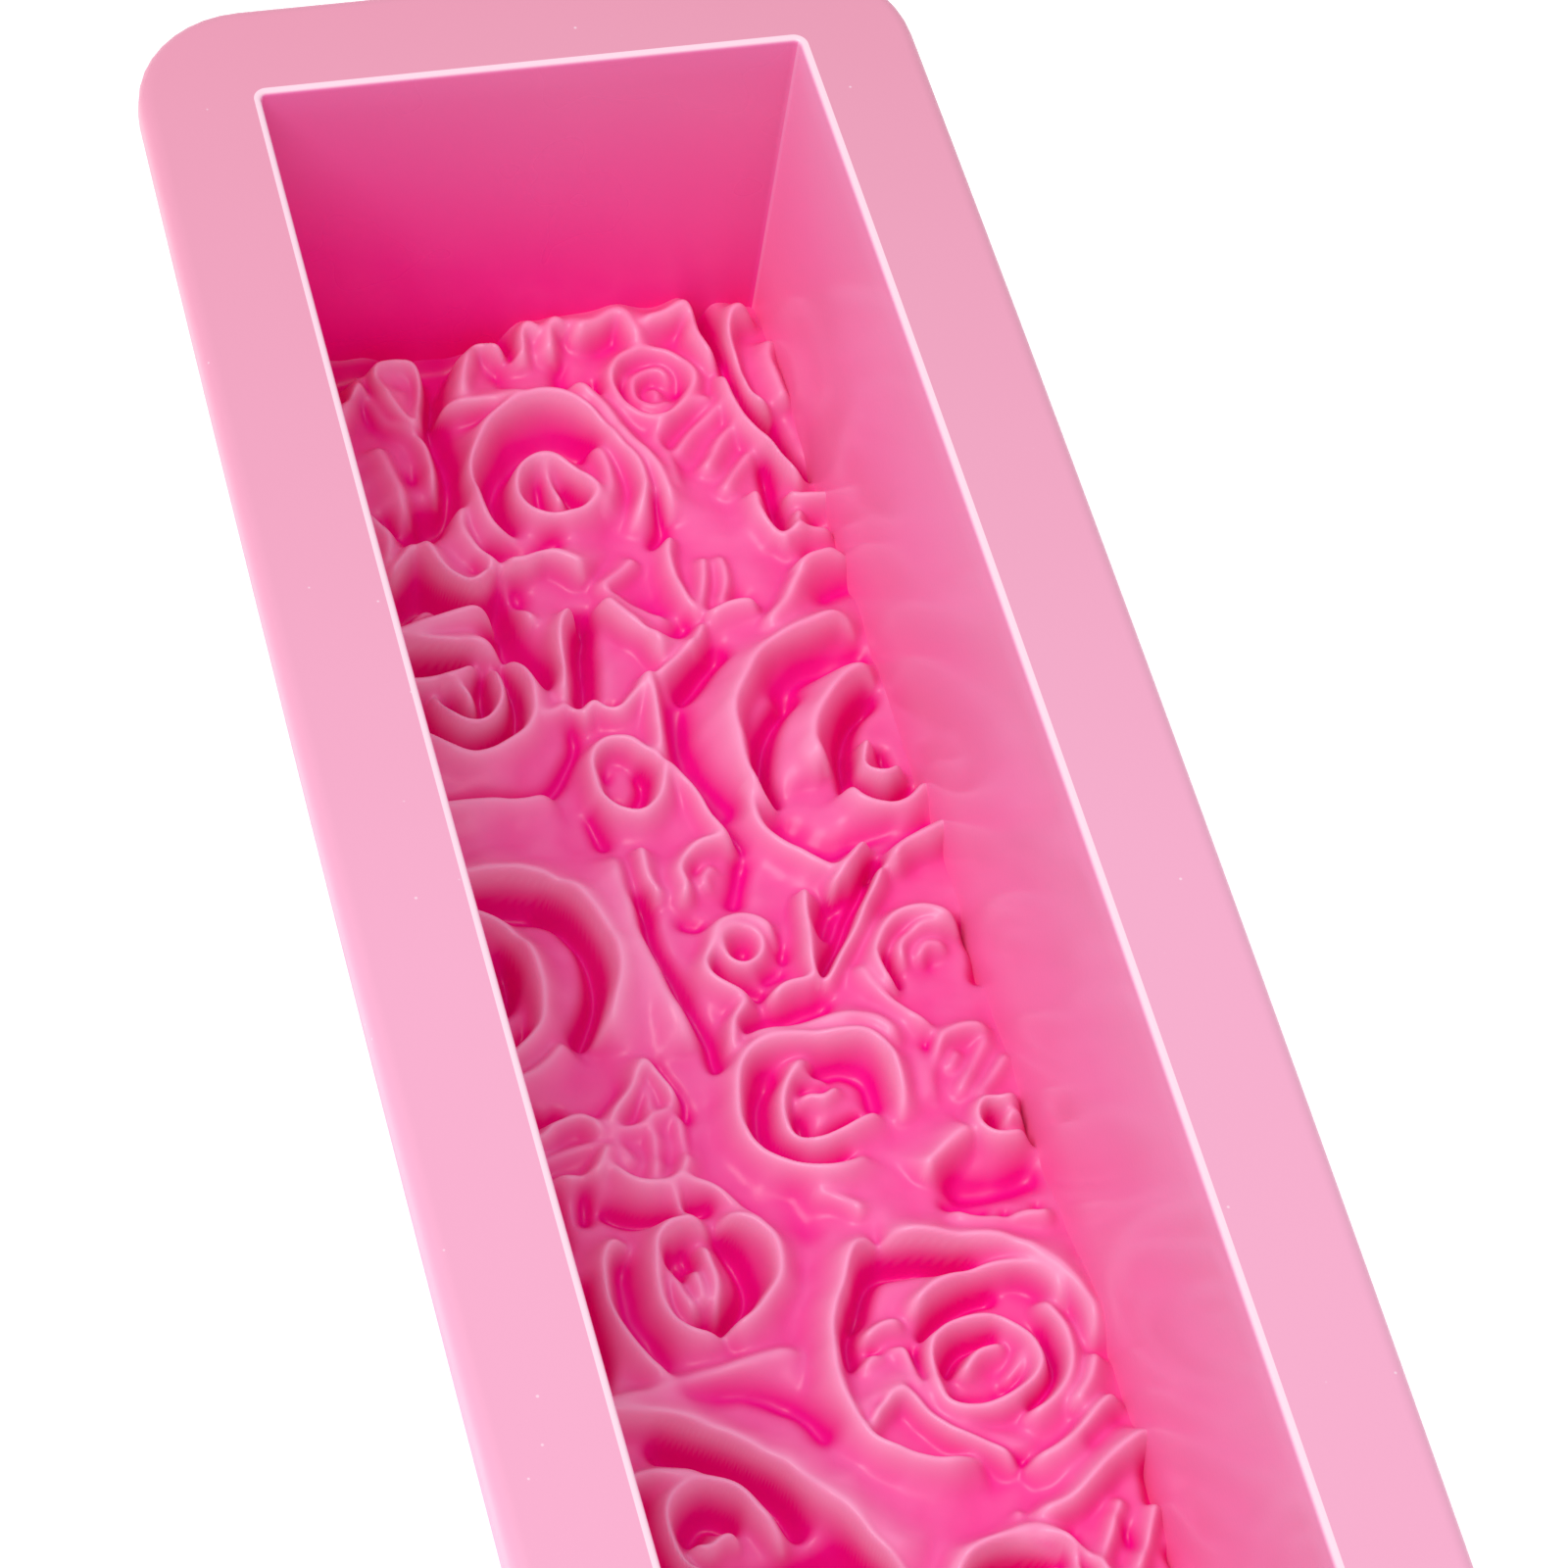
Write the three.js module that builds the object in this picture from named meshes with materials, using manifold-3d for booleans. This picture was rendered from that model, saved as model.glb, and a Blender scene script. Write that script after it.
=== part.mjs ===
// Soap loaf mould: one flexible silicone casting, shown as the regions that it is made of.
// A long trough with four drafted walls, a flange round its mouth, and a floor of roses and leaves.
// Millimetres. +Z is up, +Y runs towards the far end, and the origin is the middle of the underside.
import * as THREE from "three";
import { mergeVertices } from "three/addons/utils/BufferGeometryUtils.js";
import Module from "manifold-3d";

const wasm = await Module();
wasm.setup();

// Driving dimensions
const mouthWidth = 65; // the opening, across the mould
const mouthLength = 250; // the opening, along the mould
const overallHeight = 62;
const floorHeight = 12; // solid silicone under the flowers
const rimWidth = 14; // from the opening to the outer edge of the flange
const rimThickness = 4;
const rimEdgeRadius = 1.6; // fillet along the outer edge of the flange
const mouthEdgeRadius = 0.6; // fillet along the edge of the opening
const mouthCornerRadius = 1.2;
const wallThickness = 4; // directly under the flange
const innerDraft = THREE.MathUtils.degToRad(1);
const outerDraft = THREE.MathUtils.degToRad(1.5);
const footRadius = 2; // rounding where the floor meets the outer walls
const wallGap = 0.3; // left between each flower and the walls
const flowerHeight = 12; // tallest crest above the floor
const leafHeight = 7.2;
const leafBevel = 1.4;
const ribbonHeight = 4.8;
const ribbonBevel = 1.2;
const cornerSteps = 6; // segments in a quarter turn of the outline
const filletSteps = 3;

// Sizes worked out from them
const rimUnderside = overallHeight - rimThickness;
const endCut = mouthLength / 2 - 1; // plane where side walls and bars meet the end ones

const silicone = { roughness: 0.35, metalness: 0 };
const rimColour = 0xf6a9c6;
const wallColour = 0xee6ca2;
const floorColour = 0xe85a97;
const roseColour = 0xe9619c;
const leafColour = 0xf07fae;

const mould = new THREE.Group();

function addNode(name, geometry, colour) {
  const material = new THREE.MeshStandardMaterial({ color: colour, ...silicone });
  const mesh = new THREE.Mesh(geometry, material);
  mesh.name = name;
  mould.add(mesh);
}

// ---- Solids and booleans ----

function toSolid(geometry) {
  const bare = geometry.clone();
  bare.deleteAttribute("normal");
  bare.deleteAttribute("uv");
  const merged = mergeVertices(bare, 1e-4);
  return new wasm.Manifold(
    new wasm.Mesh({
      numProp: 3,
      vertProperties: new Float32Array(merged.attributes.position.array),
      triVerts: new Uint32Array(merged.index.array),
    }),
  );
}

function toGeometry(solid) {
  const mesh = solid.getMesh();
  const geometry = new THREE.BufferGeometry();
  geometry.setAttribute("position", new THREE.BufferAttribute(mesh.vertProperties, 3));
  geometry.setIndex(new THREE.BufferAttribute(mesh.triVerts, 1));
  return geometry;
}

// A box between two corners, for cutting.
function boxBetween(low, high) {
  const size = high.map((value, axis) => value - low[axis]);
  const box = new THREE.BoxGeometry(...size);
  box.translate(...low.map((value, axis) => value + size[axis] / 2));
  return toSolid(box);
}

// ---- The trough: outlines that follow the opening at some distance ----

function inset(height) {
  return (overallHeight - height) * Math.tan(innerDraft);
}

function outerOffset(height) {
  return wallThickness - (rimUnderside - height) * Math.tan(outerDraft);
}

// Corners open out with their distance from the mouth, as an even-width flange needs.
function cornerRadius(offset) {
  if (offset < 0) return mouthCornerRadius + offset;
  return mouthCornerRadius + offset * (1 - mouthCornerRadius / rimWidth);
}

// A rounded rectangle `offset` outside the mouth, counter-clockwise from above.
function outline(offset, height) {
  const radius = cornerRadius(offset);
  const centreX = mouthWidth / 2 + offset - radius;
  const centreY = mouthLength / 2 + offset - radius;
  const points = [];
  [[1, 1], [-1, 1], [-1, -1], [1, -1]].forEach(([sideX, sideY], corner) => {
    for (let step = 0; step <= cornerSteps; step += 1) {
      const angle = (Math.PI / 2) * (corner + step / cornerSteps);
      const x = sideX * centreX + radius * Math.cos(angle);
      const y = sideY * centreY + radius * Math.sin(angle);
      points.push([x, y, height]);
    }
  });
  return points;
}

// Joins outlines given as [offset, height]. A ring closes on its first outline, a block is capped.
function joinOutlines(levels, isRing) {
  const loops = levels.map(([offset, height]) => outline(offset, height));
  const count = loops[0].length;
  const positions = loops.flat(2);
  const triangles = [];
  const spans = isRing ? loops.length : loops.length - 1;
  for (let span = 0; span < spans; span += 1) {
    const lower = span * count;
    const upper = ((span + 1) % loops.length) * count;
    for (let i = 0; i < count; i += 1) {
      const next = (i + 1) % count;
      triangles.push(lower + i, lower + next, upper + next);
      triangles.push(lower + i, upper + next, upper + i);
    }
  }
  if (!isRing) {
    const top = (loops.length - 1) * count;
    for (let i = 1; i < count - 1; i += 1) {
      triangles.push(0, i + 1, i);
      triangles.push(top, top + i, top + i + 1);
    }
  }
  const geometry = new THREE.BufferGeometry();
  geometry.setAttribute("position", new THREE.Float32BufferAttribute(positions, 3));
  geometry.setIndex(triangles);
  return geometry;
}

// Quarter-round between two outlines: centre as [offset, height], angles in degrees.
function fillet([offset, height], radius, startDegrees, endDegrees) {
  return Array.from({ length: filletSteps + 1 }, (_, step) => {
    const angle = THREE.MathUtils.degToRad(
      THREE.MathUtils.lerp(startDegrees, endDegrees, step / filletSteps),
    );
    return [offset + radius * Math.cos(angle), height + radius * Math.sin(angle)];
  });
}

// Cuts a ring round the mouth into its left, right, far and near stretches.
function addFourSides(prefix, ring, colour) {
  const solid = toSolid(ring);
  const reachX = mouthWidth;
  const reachY = mouthLength;
  const stretches = {
    left: [[-reachX, -endCut, 0], [0, endCut, overallHeight + 1]],
    right: [[0, -endCut, 0], [reachX, endCut, overallHeight + 1]],
    far: [[-reachX, endCut, 0], [reachX, reachY, overallHeight + 1]],
    near: [[-reachX, -reachY, 0], [reachX, -endCut, overallHeight + 1]],
  };
  for (const [side, [low, high]] of Object.entries(stretches)) {
    addNode(`${prefix}_${side}`, toGeometry(solid.intersect(boxBetween(low, high))), colour);
  }
}

function buildFloor() {
  const footOffset = outerOffset(0);
  const rounding = fillet([footOffset - footRadius, footRadius], footRadius, -90, 0);
  const slab = joinOutlines([...rounding, [outerOffset(floorHeight), floorHeight]], false);
  addNode("floor_slab", slab, floorColour);
}

// The walls run from the floor up to the edge of the mouth.
function buildWalls() {
  const mouthEdge = [mouthEdgeRadius, overallHeight - mouthEdgeRadius];
  const ring = joinOutlines(
    [
      [outerOffset(floorHeight), floorHeight],
      [wallThickness, rimUnderside],
      [wallThickness, overallHeight],
      ...fillet(mouthEdge, mouthEdgeRadius, 90, 180),
      [-inset(floorHeight), floorHeight],
    ],
    true,
  );
  addFourSides("wall", ring, wallColour);
}

// The flange stands out from the top of the walls, so its underside is free to rest on a box.
function buildRim() {
  const outerEdge = [rimWidth - rimEdgeRadius, overallHeight - rimEdgeRadius];
  const ring = joinOutlines(
    [
      [rimWidth, rimUnderside],
      ...fillet(outerEdge, rimEdgeRadius, 0, 90),
      [wallThickness, overallHeight],
      [wallThickness, rimUnderside],
    ],
    true,
  );
  addFourSides("rim", ring, rimColour);
}

// ---- The sculpted floor ----

// The space that the flowers stand in: on the floor, just clear of the four walls.
const reliefX = mouthWidth / 2 - inset(floorHeight) - wallGap;
const reliefY = mouthLength / 2 - inset(floorHeight) - wallGap;
const reliefBlock = boxBetween(
  [-reliefX, -reliefY, floorHeight],
  [reliefX, reliefY, floorHeight + flowerHeight + 1],
);

function addFlower(name, geometry, colour) {
  addNode(name, toGeometry(toSolid(geometry).intersect(reliefBlock)), colour);
}

// Profiles run from the axis outwards under the flower and back over its petals.
// Each pair is [share of the radius, share of the height].
const underside = -0.1; // trimmed flush with the floor afterwards
const roseProfile = [
  [0, underside], [1, underside], [1, 0.45], [0.88, 0.9], [0.76, 0.86], [0.54, 0.35],
  [0.44, 0.4], [0.37, 0.9], [0.27, 0.88], [0.14, 0.5], [0, 0.75],
];
const budProfile = [
  [0, underside], [1, underside], [1, 0.4], [0.72, 0.85], [0.5, 0.8], [0.2, 0.35], [0, 0.35],
];
const blossomProfile = [
  [0, underside], [1, underside], [0.95, 0.6], [0.55, 0.7], [0.3, 0.45], [0, 0.6],
];

// What each kind of flower has in common. `wave` is how far the outline dips between petals.
const roseForm = { profile: roseProfile, height: flowerHeight, petals: 5, wave: 0.08, segments: 25 };
const smallRoseForm = { ...roseForm, height: 0.9 * flowerHeight, petals: 4, wave: 0.1, segments: 16 };
const budForm = { profile: budProfile, height: 0.85 * flowerHeight, petals: 3, wave: 0.08, segments: 15 };
const blossomForm = {
  profile: blossomProfile, height: 0.7 * flowerHeight, petals: 5, wave: 0.25, segments: 20,
};

// A turned form whose outline waves in and out once for each petal.
function turnedFlower({ profile, height, petals, wave, segments }, radius) {
  const points = profile.map(([out, up]) => new THREE.Vector2(out * radius, up * height));
  const geometry = new THREE.LatheGeometry(points, segments);
  geometry.rotateX(Math.PI / 2);
  const position = geometry.attributes.position;
  for (let i = 0; i < position.count; i += 1) {
    const x = position.getX(i);
    const y = position.getY(i);
    const reach = Math.hypot(x, y) / radius;
    const factor = 1 - wave * reach * (0.5 - 0.5 * Math.cos(petals * Math.atan2(y, x)));
    position.setXY(i, x * factor, y * factor);
  }
  return geometry;
}

function place(geometry, { x, y, turn = 0, stretch = 1 }) {
  geometry.scale(1, stretch, 1);
  geometry.rotateZ(THREE.MathUtils.degToRad(turn));
  geometry.translate(x, y, floorHeight);
  return geometry;
}

// Large roses: the centre and radius of each, from the far end to the near end.
const roses = [
  { name: "rose_far", x: 1, y: 99, radius: 12, turn: 20 },
  { name: "rose_left_far", x: -18.5, y: 68, radius: 12, turn: 50 },
  { name: "rose_right_far", x: 22, y: 57.5, radius: 17, turn: 95 },
  { name: "rose_left_middle", x: -24, y: 27, radius: 15, turn: 10 },
  { name: "rose_centre", x: 9, y: 7, radius: 10.5, turn: 35 },
  { name: "rose_left_centre", x: -10, y: -13, radius: 10, turn: 70 },
  { name: "rose_right_centre", x: 16.5, y: -28, radius: 14.5, turn: 15 },
  { name: "rose_left_near", x: -16.5, y: -46, radius: 13, turn: 40 },
  { name: "rose_right_near", x: 14.5, y: -61, radius: 13, turn: 80 },
  { name: "rose_left_end", x: -16, y: -78, radius: 13, turn: 25 },
  { name: "rose_right_end", x: 14, y: -94.5, radius: 14, turn: 60 },
  { name: "rose_near", x: -14.5, y: -109, radius: 12, turn: 5 },
];

const smallRoses = [
  { name: "small_rose_far", x: 15, y: 114, radius: 6, turn: 30 },
  { name: "small_rose_right", x: 25.5, y: 26, radius: 5.5, turn: 10 },
  { name: "small_rose_near", x: 25, y: -115, radius: 6, turn: 50 },
];

const buds = [
  { name: "bud_far_left", x: -15, y: 117, radius: 3.8, stretch: 1.2, turn: 10 },
  { name: "bud_tulip", x: 1, y: 73, radius: 5.6, stretch: 1.35, turn: -12 },
  { name: "bud_centre", x: -2, y: 55, radius: 3.9, stretch: 1.2, turn: 15 },
];

const blossoms = [
  { name: "blossom_far", x: 4, y: 41, radius: 3.6, turn: 0 },
  { name: "blossom_centre", x: 6.5, y: 30, radius: 5, turn: 20 },
  { name: "blossom_right", x: 28, y: 3, radius: 3, turn: 40 },
];

// Leaves and loose petals: length runs along `turn`, measured from +X.
const leaves = [
  { name: "leaf_end_left", x: -5.5, y: 119, length: 9, width: 6.5, turn: 80 },
  { name: "leaf_end_centre", x: 4.5, y: 119, length: 9, width: 6.5, turn: 100 },
  { name: "leaf_far_right", x: 27.5, y: 107, length: 17, width: 5.5, turn: 100 },
  { name: "leaf_far_left", x: -24.5, y: 103, length: 20, width: 8, turn: 80 },
  { name: "leaf_beside_far_rose", x: -17, y: 91, length: 12, width: 7, turn: 30 },
  { name: "leaf_veined_far", x: 16, y: 84, length: 13, width: 10, turn: 60 },
  { name: "leaf_small_point", x: -5.5, y: 84.5, length: 8, width: 6, turn: 20 },
  { name: "leaf_wall_far", x: 27, y: 90, length: 12, width: 6, turn: 40 },
  { name: "leaf_pair_upper", x: 16, y: 32, length: 13, width: 5, turn: 70 },
  { name: "leaf_wall_middle", x: 28.5, y: 37, length: 8, width: 4.5, turn: 20 },
  { name: "leaf_right_middle", x: 25.5, y: 14, length: 10, width: 7, turn: 60 },
  { name: "leaf_veined_left", x: -10.5, y: 7, length: 13, width: 9, turn: 70 },
  { name: "leaf_wall_left", x: -25, y: 1.5, length: 14, width: 8, turn: 110 },
  { name: "leaf_right_low", x: 25.5, y: -7, length: 10, width: 6, turn: 10 },
  { name: "leaf_right_near", x: 27, y: -46.5, length: 9, width: 6, turn: 20 },
  { name: "leaf_between_near", x: -1, y: -59.5, length: 8, width: 4.5, turn: 60 },
  { name: "leaf_wall_near", x: 27, y: -78, length: 9, width: 6, turn: 120 },
  { name: "leaf_left_end", x: -27.5, y: -95, length: 12, width: 5.5, turn: 70 },
  { name: "leaf_end_near", x: 4, y: -117.5, length: 12, width: 7, turn: 15 },
];

// Smooth folds of the ground between the roses.
const ribbons = [
  { name: "ribbon_centre", x: -5, y: 37.5, length: 21, width: 4, turn: 88 },
  { name: "ribbon_near", x: -3, y: -31.5, length: 14, width: 5, turn: 125 },
];

function addFlowers(places, form, colour) {
  for (const flower of places) {
    addFlower(flower.name, place(turnedFlower(form, flower.radius), flower), colour);
  }
}

function buildFlowers() {
  addFlowers(roses, roseForm, roseColour);
  addFlowers(smallRoses, smallRoseForm, roseColour);
  addFlowers(buds, budForm, roseColour);
  addFlowers(blossoms, blossomForm, leafColour);
}

// A flat-bottomed swell with a bevelled top, from an outline along +X.
function bevelledSwell(shape, height, bevel) {
  return new THREE.ExtrudeGeometry(shape, {
    depth: height,
    curveSegments: 6,
    bevelEnabled: true,
    bevelThickness: bevel,
    bevelSize: bevel,
    bevelOffset: -bevel,
    bevelSegments: 2,
  });
}

function buildLeaves() {
  for (const leaf of leaves) {
    const tip = leaf.length / 2;
    const shape = new THREE.Shape();
    shape.moveTo(-tip, 0);
    shape.quadraticCurveTo(0, -leaf.width, tip, 0);
    shape.quadraticCurveTo(0, leaf.width, -tip, 0);
    addFlower(leaf.name, place(bevelledSwell(shape, leafHeight, leafBevel), leaf), leafColour);
  }
}

function buildRibbons() {
  for (const ribbon of ribbons) {
    const radius = ribbon.width / 2;
    const reach = ribbon.length / 2 - radius;
    const shape = new THREE.Shape();
    shape.absarc(reach, 0, radius, -Math.PI / 2, Math.PI / 2, false);
    shape.absarc(-reach, 0, radius, Math.PI / 2, (3 * Math.PI) / 2, false);
    const swell = bevelledSwell(shape, ribbonHeight, ribbonBevel);
    addFlower(ribbon.name, place(swell, ribbon), leafColour);
  }
}

buildFloor();
buildWalls();
buildRim();
buildFlowers();
buildLeaves();
buildRibbons();

export default mould;
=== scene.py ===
"""Silicone soap loaf mould: a trough with a flange round its mouth and roses sculpted on its floor.

The CAD frame gives every size. The walls and the flange are outlines joined into closed rings and
mitred at the corners. The sculpted floor is one height field, drawn from the lips and hollows of its
petals and leaves and then cut into a closed piece for each of them.
"""

import math

import bpy
import numpy as np
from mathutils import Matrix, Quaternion, Vector
from mathutils.geometry import tessellate_polygon


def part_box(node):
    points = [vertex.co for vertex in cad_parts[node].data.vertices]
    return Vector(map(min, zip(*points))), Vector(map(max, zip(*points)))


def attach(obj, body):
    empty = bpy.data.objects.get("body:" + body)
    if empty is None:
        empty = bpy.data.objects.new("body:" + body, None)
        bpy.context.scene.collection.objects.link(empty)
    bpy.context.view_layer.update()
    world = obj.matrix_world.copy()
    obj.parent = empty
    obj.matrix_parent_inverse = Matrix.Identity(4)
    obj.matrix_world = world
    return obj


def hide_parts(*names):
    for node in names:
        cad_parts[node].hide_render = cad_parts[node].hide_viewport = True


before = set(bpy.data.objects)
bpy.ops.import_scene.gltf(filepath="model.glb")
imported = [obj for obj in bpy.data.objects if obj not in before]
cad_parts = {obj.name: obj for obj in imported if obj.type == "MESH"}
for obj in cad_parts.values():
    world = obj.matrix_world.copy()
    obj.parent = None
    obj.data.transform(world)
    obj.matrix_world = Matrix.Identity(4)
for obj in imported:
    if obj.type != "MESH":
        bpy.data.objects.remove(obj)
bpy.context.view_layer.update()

MM = 0.001
DRAFT = math.tan(math.radians(1.0))  # inner walls lean out this much per millimetre of height
OUTER_DRAFT = math.tan(math.radians(1.5))  # and the outer walls this much
EDGE_RADIUS = 1.6  # fillet along the outer edge of the flange
UNDER_RADIUS = 0.5  # and along the lower edge of it
MOUTH_RADIUS = 0.6  # fillet along the edge of the mouth
FOOT_RADIUS = 2.0  # rounding between the underside and the outer walls
INNER_CORNER = 0.8  # rounding of the trough's inner corners, seen from above
SUPPORT = 0.3  # distance of the edge loops that hold a flat face flat beside its fillet
CORNER_STEPS = 10  # segments in each rounded corner of an outline
SIDE_STEPS = 24, 80, 24, 80  # and in its far, left, near and right sides
BOW = 0.6  # how far the limp long sides stand out at mid-length

SHARP = math.radians(40)  # faces that meet at more than this angle are shaded as an edge

CELL = 0.26  # spacing of the relief's grid
GROUND = 17.5  # usual height between the flowers
CREST = 25.5  # nothing on the sculpted floor is higher
LEAST_COVER = 0.4  # and nothing on it is nearer than this to the solid bottom
EDGE_OVERLAP = 0.3  # the floor reaches this far into the walls
WANDER = 0.12  # how far the drawn lines stray, as in hand-sculpted ones
HOLLOW_DEPTH = 0.62  # hollows are this share of their drawn depth; painted shade, a darker colour, does the rest
HOLLOW_WIDTH = 0.88  # and this share of their drawn width
PIT_LENGTH = 0.1
TAPER = 0.12  # share of an open lip's length that sinks away at each end
CREST_HIGHLIGHT_WIDTH = 0.75  # half the width of the painted highlight line along a lip's crest
CREST_HIGHLIGHT_HEIGHT = 4.4  # a lip of this height or more gets the full painted highlight
SOFTNESS = 0.5  # radius of the blur that rounds the casting's edges

# ---- Sizes in millimetres, read from the frame ----


def box_mm(node):
    low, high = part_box(node)
    return low / MM, high / MM


RIM_LOW, RIM_HIGH = box_mm("rim_right")
END_RIM_HIGH = box_mm("rim_far")[1]
WALL_LOW = box_mm("wall_right")[0]
SLAB_HIGH = box_mm("floor_slab")[1]

TOP = RIM_HIGH.z
FLANGE_UNDERSIDE = RIM_LOW.z
FLOOR_TOP = SLAB_HIGH.z
MOUTH_X = WALL_LOW.x + (TOP - FLOOR_TOP) * DRAFT
RIM_WIDTH = RIM_HIGH.x - MOUTH_X
MOUTH_Y = END_RIM_HIGH.y - RIM_WIDTH
WALL_OFFSET = RIM_LOW.x - MOUTH_X

# ---- What the flowers are drawn from, in millimetres ----
# A lip is (height, inner width, outer width, points) and a hollow is (depth, width, points). The steep
# side of a lip is on the left of travel, so a petal that is drawn counter-clockwise round its rose is
# steep on the inside. A hollow with a single point is a round pit.

DRAWN = {}
DRAWN["rose_far"] = [
    (4.6, 0.8, 1.5, [(4.6, 95.6), (2.7, 98.4), (0.6, 100.6), (-1.8, 101.2), (-3.9, 100), (-5, 97.4),
        (-4.5, 94.6), (-2.6, 92.6), (0.2, 92.1), (3, 93.3), (4.6, 95.6)]),
    (3.4, 0.6, 0.7, [(-1, 101), (-0.6, 98), (0.2, 94.6)]),
    (5, 1, 2, [(7.6, 90.4), (10, 94.5), (10.2, 98.4), (8.9, 102.4), (7, 106.4), (4.4, 109.3), (1.2, 110.5),
        (-2, 109.8), (-5.5, 107.6), (-8.4, 104), (-9.8, 100), (-9.7, 96), (-8.4, 92.6), (-5.6, 90.8)]),
    (3, 0.7, 1.2, [(4.6, 92.6), (6.6, 96.4), (6.8, 100.6), (5.6, 104.4)]),
    (4.2, 0.7, 2.2, [(12.8, 91), (12.5, 96.4), (11.4, 100.4), (9.4, 105), (7.2, 110), (5.6, 114)]),
    (4, 0.8, 2, [(-12, 96.8), (-12.5, 92.8), (-11.4, 89.2), (-9, 86)]),
    (3.8, 0.8, 3, [(-0.6, 110.9), (-6, 111.3), (-11.4, 112.2)]),
    (5.5, 2, [(-7, 93.6), (-7, 97.6), (-5.8, 101.4), (-2.6, 105), (1.6, 106.2), (5, 104.4)]),
    (3.6, 0.9, [(-2, 95.4), (-1.6, 98.6)]),
    (3.6, 1, [(1.8, 97.4), (2.4, 95.6)]),
    (3, 0.7, [(11.4, 95.6), (10.9, 99.4), (8.6, 104.6), (7, 109.4)]),
    (4, 1.2, [(11.6, 94), (11.6, 91.6), (10.4, 89)]),
    (4.4, 1.5, [(-9, 89.6), (-5.4, 88.8), (-2, 90)]),
    (1.6, 2, [(-9.4, 109), (-6, 109.6)]),
]
DRAWN["bud_far_left"] = [
    (4.2, 0.7, 1.1, [(-14.6, 109.6), (-13, 113.6), (-12.2, 118), (-14, 119.8), (-17.6, 118.9),
        (-17.2, 115), (-14.6, 109.6)]),
    (1.8, 1, [(-15, 116.8)]),
    (7, 1.4, [(-18.4, 118), (-18.6, 115), (-17, 111.8), (-14.6, 109.4)]),
    (9, 2.2, [(-8.6, 121), (-10.6, 117.6), (-11.8, 113), (-11.8, 107), (-11.6, 102), (-13.2, 98),
        (-15.8, 97)]),
    (9, 2.6, [(-30, 121.6), (-24, 121.6), (-16, 122.4), (-10, 122.4), (-2, 122.6)]),
    (8, 1.8, [(-22, 119.6), (-22.6, 116)]),
]
DRAWN["leaf_far_left"] = [
    (3.6, 0.9, 5, [(-13.8, 99), (-13.8, 104.4), (-14.6, 108), (-17.4, 111.8), (-19.9, 116.8),
        (-22.4, 112.6), (-25, 106)]),
    (2.4, 0.8, 1.4, [(-19.4, 108), (-18.6, 101.6), (-17.6, 96.6)]),
    (3, 0.8, 1.2, [(-23, 97.6), (-21.2, 93), (-22.6, 88.6)]),
    (2.6, 0.8, 1.6, [(-29, 114), (-26, 104), (-27, 94)]),
    (4.4, 1, [(-20.2, 97.4), (-19.9, 95.9)]),
    (2, 1.4, [(-16.2, 103.6)]),
    (6, 1.8, [(-17.6, 94.6), (-15.4, 95.2)]),
]
DRAWN["leaf_beside_far_rose"] = [
    (4.6, 0.9, 1.8, [(-10, 86.5), (-11.6, 84.6), (-13.6, 84.2), (-15.6, 86), (-17, 88.8), (-18.4, 91.2)]),
    (3.8, 0.9, 1.6, [(-18.4, 91.2), (-20.2, 89), (-22.4, 86.9)]),
    (9, 2.2, [(-29, 84), (-23, 84), (-18.4, 86), (-15, 83.6), (-12, 82.4)]),
    (3.4, 0.8, [(-12.2, 87.4), (-11.4, 86.2)]),
]
DRAWN["leaf_end_left"] = [
    (4.2, 0.8, 1.8, [(-1.4, 118.4), (-2.6, 119.6), (-4.8, 120.8), (-6.4, 117.6), (-8.2, 112.6)]),
    (3, 0.6, 0.8, [(-7.2, 118.4), (-7.2, 121)]),
    (6, 0.9, [(-0.4, 121.5), (-0.2, 118.4)]),
    (1.8, 1.2, [(-2.6, 117.4), (-2, 114.6)]),
]
DRAWN["leaf_end_centre"] = [
    (4.2, 0.8, 1.8, [(3.4, 120.6), (2.2, 122.2), (1.2, 120.6), (0.4, 116.4)]),
    (3.8, 0.8, 1.6, [(6.6, 121), (5.6, 122.4), (4.6, 120.4), (4, 117)]),
    (4.2, 0.9, 3.4, [(15.4, 117.4), (14.5, 120.6), (13.7, 123), (10.6, 121.2), (7, 120.2)]),
    (4.6, 0.9, 3, [(23, 112.6), (22.1, 117), (22.6, 121.6), (19, 121), (15.4, 120.4)]),
    (2.4, 1.2, [(5, 117.4), (4.6, 114.6)]),
]
DRAWN["small_rose_far"] = [
    (3.6, 0.8, 1.3, [(20.2, 110.6), (19.6, 114.6), (16.3, 117.2), (12.6, 116.2), (10.8, 112.6),
        (12, 108.2), (16, 106.4), (20.2, 110.6)]),
    (3, 0.6, 0.9, [(17.8, 112.2), (16.4, 114.6), (13.8, 113.4), (13.2, 110.6), (15.4, 108.8),
        (17.8, 109.8)]),
    (2.4, 0.5, 0.6, [(15, 112.4), (16, 111), (15.2, 110)]),
    (2.8, 0.7, 1.2, [(14, 104.4), (18, 107.6), (22.4, 109)]),
    (2.8, 0.7, 1.2, [(15.5, 100.6), (19, 104.4), (23.4, 108)]),
    (2.6, 0.7, 1.2, [(18, 97.6), (21, 101.4), (24, 104.4)]),
    (2.4, 0.7, 1.2, [(19.6, 94), (22.4, 97.6), (25.4, 100.4)]),
    (2.4, 0.8, 1.2, [(13.8, 105.4), (14.9, 100.6), (14.6, 95)]),
    (4.2, 0.8, [(8.9, 114), (9, 112.6)]),
    (2, 0.8, [(12, 113), (12.4, 110)]),
    (1.8, 0.8, [(18.8, 111)]),
]
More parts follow.
